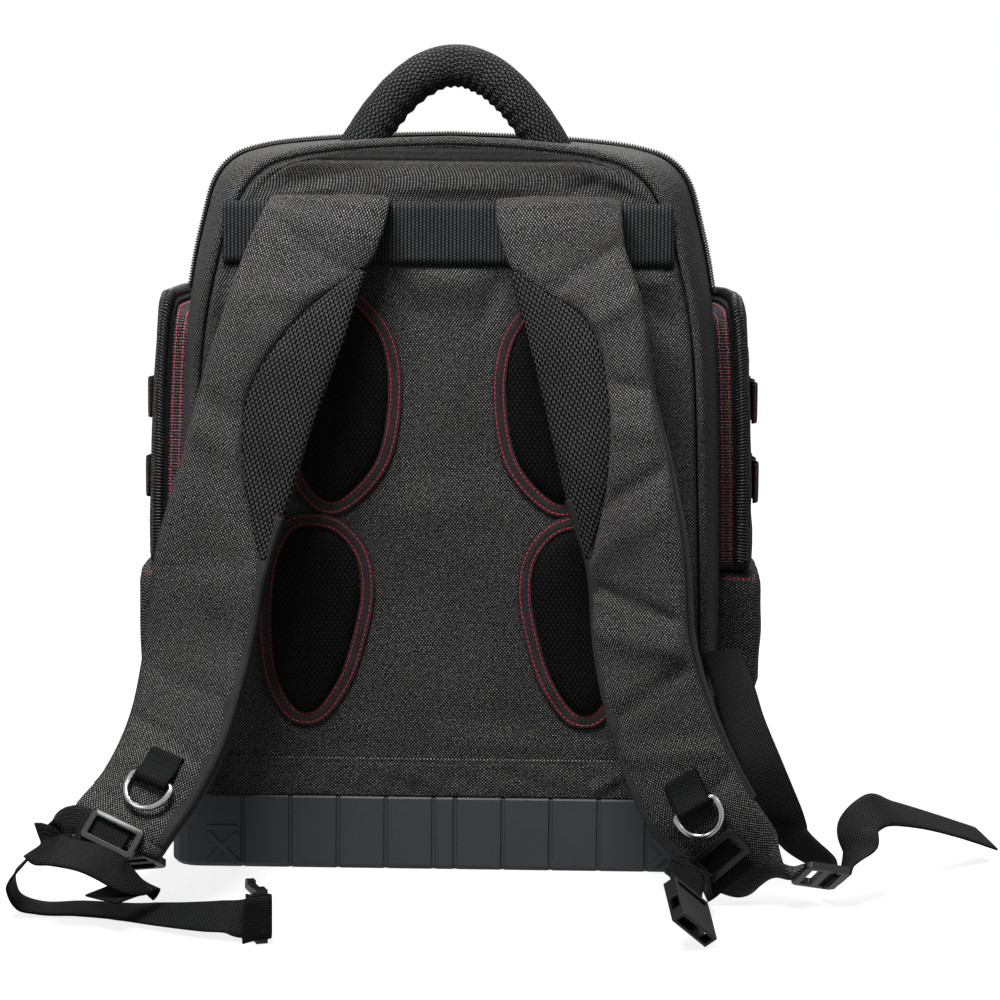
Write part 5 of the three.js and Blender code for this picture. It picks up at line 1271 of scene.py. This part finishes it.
strap_binding_spans = {"left": (0.47, 0.985), "right": (0.45, 0.985)}
for name in ("left", "right"):
    strap = surface(f"shoulder_strap_cloth_{name}", strap_surface(name), around=True, capped=True)
    dress(strap, bag_weave, stands_for=[f"shoulder_strap_{name}"])
    points, uv = strap_mesh_surface(name)
    inset = surface(f"strap_mesh_cloth_{name}", points, around=True, capped=True, uv=uv)
    dress(inset, mesh_black, stands_for=[f"strap_mesh_{name}"])
    for edge, begin, finish, lip, sink in (("inner", *strap_binding_spans[name], 9.0, 0.0),
                                           ("outer", 0.3, 0.86, 5.0, 2.5)):
        frames = strap_frames(name, np.linspace(begin, finish, 220))
        way = inner_side[name] if edge == "inner" else -inner_side[name]
        place = way * (frames["width"] / 2 - lip / 2 + 0.8)
        centre = frames["point"] + frames["across"] * place[:, None] - frames["out"] * sink
        thick = np.minimum(frames["thick"] * 0.62, 9.0) + 1.6
        binding = strip(f"strap_binding_{edge}_{name}", centre, frames["across"], frames["out"], lip, thick,
                        columns=13, round_off=0.7)
        dress(binding, binding_black)

# Tabs and D-rings
# A short webbing tab is sewn to each strap and folded round the bar of a plated steel D-ring. The
# ring swings freely on its bar.
ring_wire, ring_span, ring_arm, tab_width, tab_thickness, tab_length = 1.8, 28.0, 5.0, 22.4, 1.5, 19.0
ring_heights, ring_shifts = {"left": 75, "right": 62}, {"left": 5, "right": 1}


def along_strap(name, height, distances, shift):
    """Frames of a strap at distances further down it than the place at a height, moved across."""
    shares = np.linspace(0.2, 1, 4000)
    frames = strap_frames(name, shares)
    travelled = run_length(frames["point"][:, None], 0)[:, 0]
    start = travelled[np.argmax(frames["point"][:, 2] <= height)]
    wanted = np.interp(start + np.asarray(distances, float), travelled, shares)
    picked = strap_frames(name, wanted)
    picked["point"] = picked["point"] + picked["across"] * shift
    return picked


def metal_shine(name):
    """Nickel plate: bright, with faint wiping marks."""
    material, tree, shader, cloth, body = finish_of(name, 0.16, metallic=1.0)
    marks = noise(tree, body, 260.0, 4.0)
    tree.links.new(tinted(tree, marks, (0.5, 0.5, 0.51), (0.72, 0.72, 0.73)), shader.inputs["Base Color"])
    tree.links.new(calc(tree, "MULTIPLY_ADD", marks, 0.16, 0.08), shader.inputs["Roughness"])
    return material


ring_plate = metal_shine("ring_plate")
for name in ("left", "right"):
    base = along_strap(name, ring_heights[name], [0], ring_shifts[name])
    lift = base["thick"][0] / 2 + 0.3 + tab_thickness + 0.6 + ring_wire
    bar = base["point"][0] + base["out"][0] * lift
    bow_end = along_strap(name, ring_heights[name], [ring_arm + ring_span / 2], ring_shifts[name])
    rest = bow_end["point"][0] + bow_end["out"][0] * (bow_end["thick"][0] / 2 + 0.8 + 2 * ring_wire)
    ring_x = base["across"][0]
    ring_y = bar - rest
    ring_y = unit(ring_y - np.dot(ring_y, ring_x) * ring_x)
    corner = 3.0
    half_circle = np.linspace(0, -np.pi, 40)
    half_span = ring_span / 2
    outline = [np.stack([np.linspace(-half_span + corner, half_span - corner, 14), np.zeros(14)], axis=1)]
    turn_in = np.linspace(np.pi / 2, 0, 8)[1:-1]
    turn_out = np.linspace(np.pi, np.pi / 2, 8)[1:-1]
    for x, y, radius, turns in ((half_span - corner, -corner, corner, turn_in),
                                (0, -ring_arm, half_span, half_circle),
                                (-half_span + corner, -corner, corner, turn_out)):
        outline.append(np.stack([x + radius * np.cos(turns), y + radius * np.sin(turns)], axis=1))
    flat_path = np.concatenate(outline)
    path = bar + ring_x * flat_path[:, :1] + ring_y * flat_path[:, 1:]
    closed = np.concatenate([path[-1:], path, path[:1]])
    way = unit(closed[2:] - closed[:-2])
    out = np.tile(np.cross(ring_x, ring_y), (len(path), 1))
    beside = np.cross(out, way)
    angles = np.linspace(0, 2 * np.pi, 18, endpoint=False)
    rings = path[:, None] + ring_wire * rounds(beside, out, angles)
    ring = surface(f"plated_ring_{name}", rings, around=True, looped=True)
    dress(ring, ring_plate, body=f"ring_{name}", stands_for=[f"d_ring_{name}"])

    radius = ring_wire + 0.6 + tab_thickness / 2
    under = along_strap(name, ring_heights[name], [-tab_length, -tab_length / 2, -3], ring_shifts[name])
    lower = under["point"] + under["out"] * (under["thick"] / 2 + 0.3 + tab_thickness / 2)[:, None]
    fold_angle = np.linspace(-np.pi / 2, np.pi / 2, 13)[:, None]
    fold = bar + radius * (base["along"][0] * np.cos(fold_angle) + base["out"][0] * np.sin(fold_angle))
    above = along_strap(name, ring_heights[name], [-5, -9, -13, 1 - tab_length], ring_shifts[name])
    settle = np.array([0.6, 0.2, 0.04, 0.0]) * radius
    upper = above["point"] + above["out"] * (above["thick"] / 2 + 0.6 + 1.5 * tab_thickness + settle)[:, None]
    centre = np.concatenate([lower, fold, upper])
    dense = np.linspace(0, 1, 90)
    spot = run_length(centre[:, None], 0)[:, 0]
    centre = read_at(dense * spot[-1], spot, centre)
    way = unit(np.gradient(centre, axis=0))
    across = np.tile(ring_x, (len(centre), 1))
    face = np.cross(across, way)
    tab = strip(f"ring_tab_{name}", centre, across, -face, tab_width, tab_thickness)
    dress(tab, webbing_black, stands_for=[f"d_ring_tab_{name}"])

# Webbing, slides, locks and the buckle
# Plain black webbing runs from the panel's foot to the ladder locks, and from the slides on the
# straps to the two halves of the chest buckle, which lies undone on the floor.
sternum_width, sternum_thickness, sternum_drop = 25.0, 1.5, 5.0
adjuster_width, adjuster_thickness = 25.0, 1.5
lock_depth, lock_bar, lock_thickness = 27.0, 4.5, 4.5


def stations(rows):
    """Places and widthwise directions of a table of webbing stations, in millimetres."""
    points = np.array([[row["x"] * half_panel, strap_root - row["ahead"] * bag_depth, row["z"] * bag_height]
                       for row in rows])
    return points, np.array([row["wide"] for row in rows], float)


def webbing_run(name, places, wides, width, thickness, count, stands_for):
    """Webbing through stations: its middle and its widthwise direction are smooth through the rows."""
    rows = listed("x y z hx hy hz", *((*place, *wide) for place, wide in zip(places, wides)))
    shares = np.linspace(0, 1, count)
    read = smooth(rows, ["x", "y", "z"], shares)
    centre = np.stack([read["x"], read["y"], read["z"]], axis=1)
    hint = np.stack([read["hx"], read["hy"], read["hz"]], axis=1)
    across, out = ribbon(centre, hint)[1:]
    piece = strip(name, centre, across, out, width, thickness)
    return dress(piece, webbing_black, stands_for=stands_for)


def strap_end(name):
    """The frame of a strap's lower end and the middle of its ladder lock."""
    end = strap_frames(name, np.array([1.0]))
    directions = {key: end[key][0] for key in ("along", "across", "out")}
    return directions, end["point"][0] + end["along"][0] * (lock_depth / 2 + 0.3)


def lock_place(name, along, out):
    """A point near a ladder lock, along and out from its middle."""
    end, middle = strap_end(name)
    return middle + end["along"] * along + end["out"] * out


adjuster_tables = {
    "left": listed(
        "x ahead z wide",
        (-1.05, 0.056, 0.258, (1, 0, 0)), (-1.075, 0.163, 0.184, (1, 0, 0)),
        (-1.085, 0.268, 0.12, (1, 0, 0)), (-1.085, 0.36, 0.083, (1, -0.1, 0)),
    ),
    "right": listed(
        "x ahead z wide",
        (1.07, 0.14, 0.268, (1, 0, 0)), (1.103, 0.225, 0.229, (1, 0, 0.1)),
        (1.17, 0.29, 0.172, (1, -0.05, 0.2)), (1.235, 0.295, 0.118, (0.95, -0.2, 0.2)),
        (1.285, 0.28, 0.082, (0.7, -0.6, 0.35)),
    ),
}
adjuster_tail = listed(
    "x ahead z wide",
    (1.53, 0.26, 0.066, (0.55, -0.75, 0)), (1.525, 0.2, 0.088, (0.75, -0.5, -0.3)),
    (1.6, 0.131, 0.104, (0.4, -0.6, -0.6)), (1.723, 0.012, 0.087, (0.55, -0.65, -0.5)),
    (1.896, -0.13, 0.058, (0.55, -0.7, -0.42)), (2.076, -0.259, 0.026, (0.55, -0.7, -0.42)),
)
lock_slot = lock_bar / 2 + (lock_depth - 3 * lock_bar) / 4
lock_bend = lock_thickness / 2 + adjuster_thickness
for side, name in ((-1, "left"), (1, "right")):
    places, wides = stations(adjuster_tables[name])
    sewn_at = panel_face - 0.3 - adjuster_thickness / 2
    start = np.array([[side * half_panel * 1.025, sewn_at, 0.308 * bag_height]])
    end_frame = strap_end(name)[0]
    through = np.array([lock_place(name, lock_slot, out) for out in (-1.6 * lock_bend, 0, lock_bend)])
    places = np.concatenate([start, places, through])
    wides = np.concatenate([[[1.0, 0, 0]], wides, np.tile(end_frame["across"], (3, 1))])
    webbing_run(f"adjuster_webbing_{name}", places, wides, adjuster_width, adjuster_thickness, 120,
                [f"adjuster_web_{name}"])
tail_places, tail_wides = stations(adjuster_tail)
end_frame = strap_end("right")[0]
beyond = lock_depth / 2 + 0.8 + adjuster_thickness / 2
tail_start = np.array([lock_place("right", beyond, 0), lock_place("right", beyond + 1, -lock_bend)])
webbing_run("adjuster_tail_webbing", np.concatenate([tail_start, tail_places]),
            np.concatenate([np.tile(end_frame["across"], (2, 1)), tail_wides]),
            adjuster_width, adjuster_thickness, 140, ["adjuster_tail_right"])

sternum_tables = {
    "left": listed(
        "x ahead z wide",
        (-1.325, 0.64, 0.095, (-0.3, -0.75, -0.6)), (-1.358, 0.648, 0.1, (-0.1, -0.8, -0.55)),
        (-1.373, 0.66, 0.102, (0, -0.85, -0.5)), (-1.352, 0.69, 0.098, (0, -0.88, -0.45)),
        (-1.301, 0.72, 0.0975, (0, -0.9, -0.42)), (-1.21, 0.73, 0.0925, (0, -0.87, -0.48)),
        (-1.13, 0.727, 0.0805, (0, -0.8, -0.6)), (-1.074, 0.72, 0.0665, (0.3, -0.6, -0.65)),
        (-1.03, 0.665, 0.059, (0.6, -0.3, -0.5)), (-1.035, 0.65, 0.048, (0.95, 0, -0.2)),
        (-1.075, 0.69, 0.046, (0.9, -0.4, -0.05)), (-1.145, 0.77, 0.043, (0.87, -0.5, -0.02)),
    ),
    "right": listed(
        "x ahead z wide",
        (0.89, 0.548, 0.075, (0.7, 0.3, -0.5)), (0.886, 0.579, 0.067, (0.75, 0.45, -0.4)),
        (0.872, 0.655, 0.0596, (0.65, 0.55, -0.5)),
    ),
}
sternum_run = listed(
    "x ahead z wide",
    (-1.407, 0.6135, 0.087, (0, -1, 0)), (-1.436, 0.628, 0.0755, (0, -1, 0)),
    (-1.49, 0.608, 0.047, (0, -1, 0)), (-1.472, 0.579, 0.018, (0, -1, 0)),
    (-1.406, 0.56, 0.006, (0, -1, -0.03)), (-1.262, 0.57, 0.007, (0, -1, -0.08)),
    (-1.112, 0.605, 0.0085, (-0.43, -0.88, -0.12)), (-1.031, 0.655, 0.0135, (-0.6, -0.76, -0.22)),
    (-0.917, 0.712, 0.018, (-0.5, -0.8, -0.33)), (-0.768, 0.779, 0.0245, (-0.43, -0.75, -0.5)),
    (-0.67, 0.815, 0.029, (-0.35, -0.7, -0.63)),
)
slide_heights, slide_shifts = {"left": 46, "right": 38}, {"left": 1, "right": -4}


def buckle_frame(row, length, width, corner):
    """The frame of a buckle half whose slot lies at a station: its foot, the way along it, across it
    and out of it. It is raised until its lowest corner clears the floor."""
    slot = stations([row])[0][0]
    along = unit(np.array(length, float))
    across = unit(np.array(width, float) - np.dot(width, along) * along)
    out = np.cross(across, along)
    origin = slot - along * slot_place
    half_width, reach, half_thick = corner
    lowest = origin[2] - half_width * abs(across[2]) - half_thick * abs(out[2]) + min(reach * along[2], 0)
    origin[2] += max(0.3 - lowest, 0)
    return origin, along, across, out


slot_place = 4.2
female_row = {"x": 0.873, "ahead": 0.78, "z": 0.052, "wide": (0, 0, 0)}
male_row = {"x": -0.585, "ahead": 0.85, "z": 0.034, "wide": (0, 0, 0)}
female = buckle_frame(female_row, (0.15, -0.85, -0.5), (0.6, 0.6, -0.53), (15.5, 30, 4.5))
male = buckle_frame(male_row, (-0.33, 0.94, 0), (0, 0, -1), (15.5, 9.24, 3.375))


def buckle_place(half, along, out):
    """A point of a buckle half, along and out from its foot."""
    return half[0] + half[1] * along + half[3] * out


plastic_black = moulded("plastic_black", (0.003, 0.003, 0.0034), (0.008, 0.008, 0.009), 0.36, 0.00003)
for node in ("sternum_ring_left", "sternum_ring_right", "ladder_lock_left", "ladder_lock_right",
             "buckle_male", "buckle_female"):
    repaint(node, plastic_black)
    soften(node, 0.0006)
for name in ("left", "right"):
    base = along_strap(name, slide_heights[name], [0], slide_shifts[name])
    under_web = base["thick"][0] / 2 + 1.6 * 0.8 + sternum_thickness / 2
    sewn = np.array([base["point"][0] + base["across"][0] * offset + base["along"][0] * sternum_drop
                     + base["out"][0] * under_web for offset in (9, -3, -14, -23)])
    places, wides = stations(sternum_tables[name])
    reach = [(-8, 0.5), (-0.9, 0)] if name == "right" else []
    ends = np.array([buckle_place(female, along, out) for along, out in reach]).reshape(-1, 3)
    places = np.concatenate([sewn, places, ends])
    wides = np.concatenate([np.tile(base["along"][0], (4, 1)), wides, np.tile(female[2], (len(ends), 1))])
    webbing_run(f"sternum_webbing_{name}", places, wides, sternum_width, sternum_thickness, 170,
                [f"sternum_web_{name}"])
threaded = [(4.6, -6), (4.2, -2), (4, 2), (2.8, 4.8), (0.3, 5.2), (-1.5, 2.6), (-1.8, -1.5),
            (-4.5, -8), (-8, -13)]
places, wides = stations(sternum_run)
wrapped = np.array([buckle_place(male, along, out) for along, out in threaded])
webbing_run("sternum_run_webbing", np.concatenate([places, wrapped]),
            np.concatenate([wides, np.tile(male[2], (len(threaded), 1))]),
            sternum_width, sternum_thickness, 260, ["sternum_run_left"])
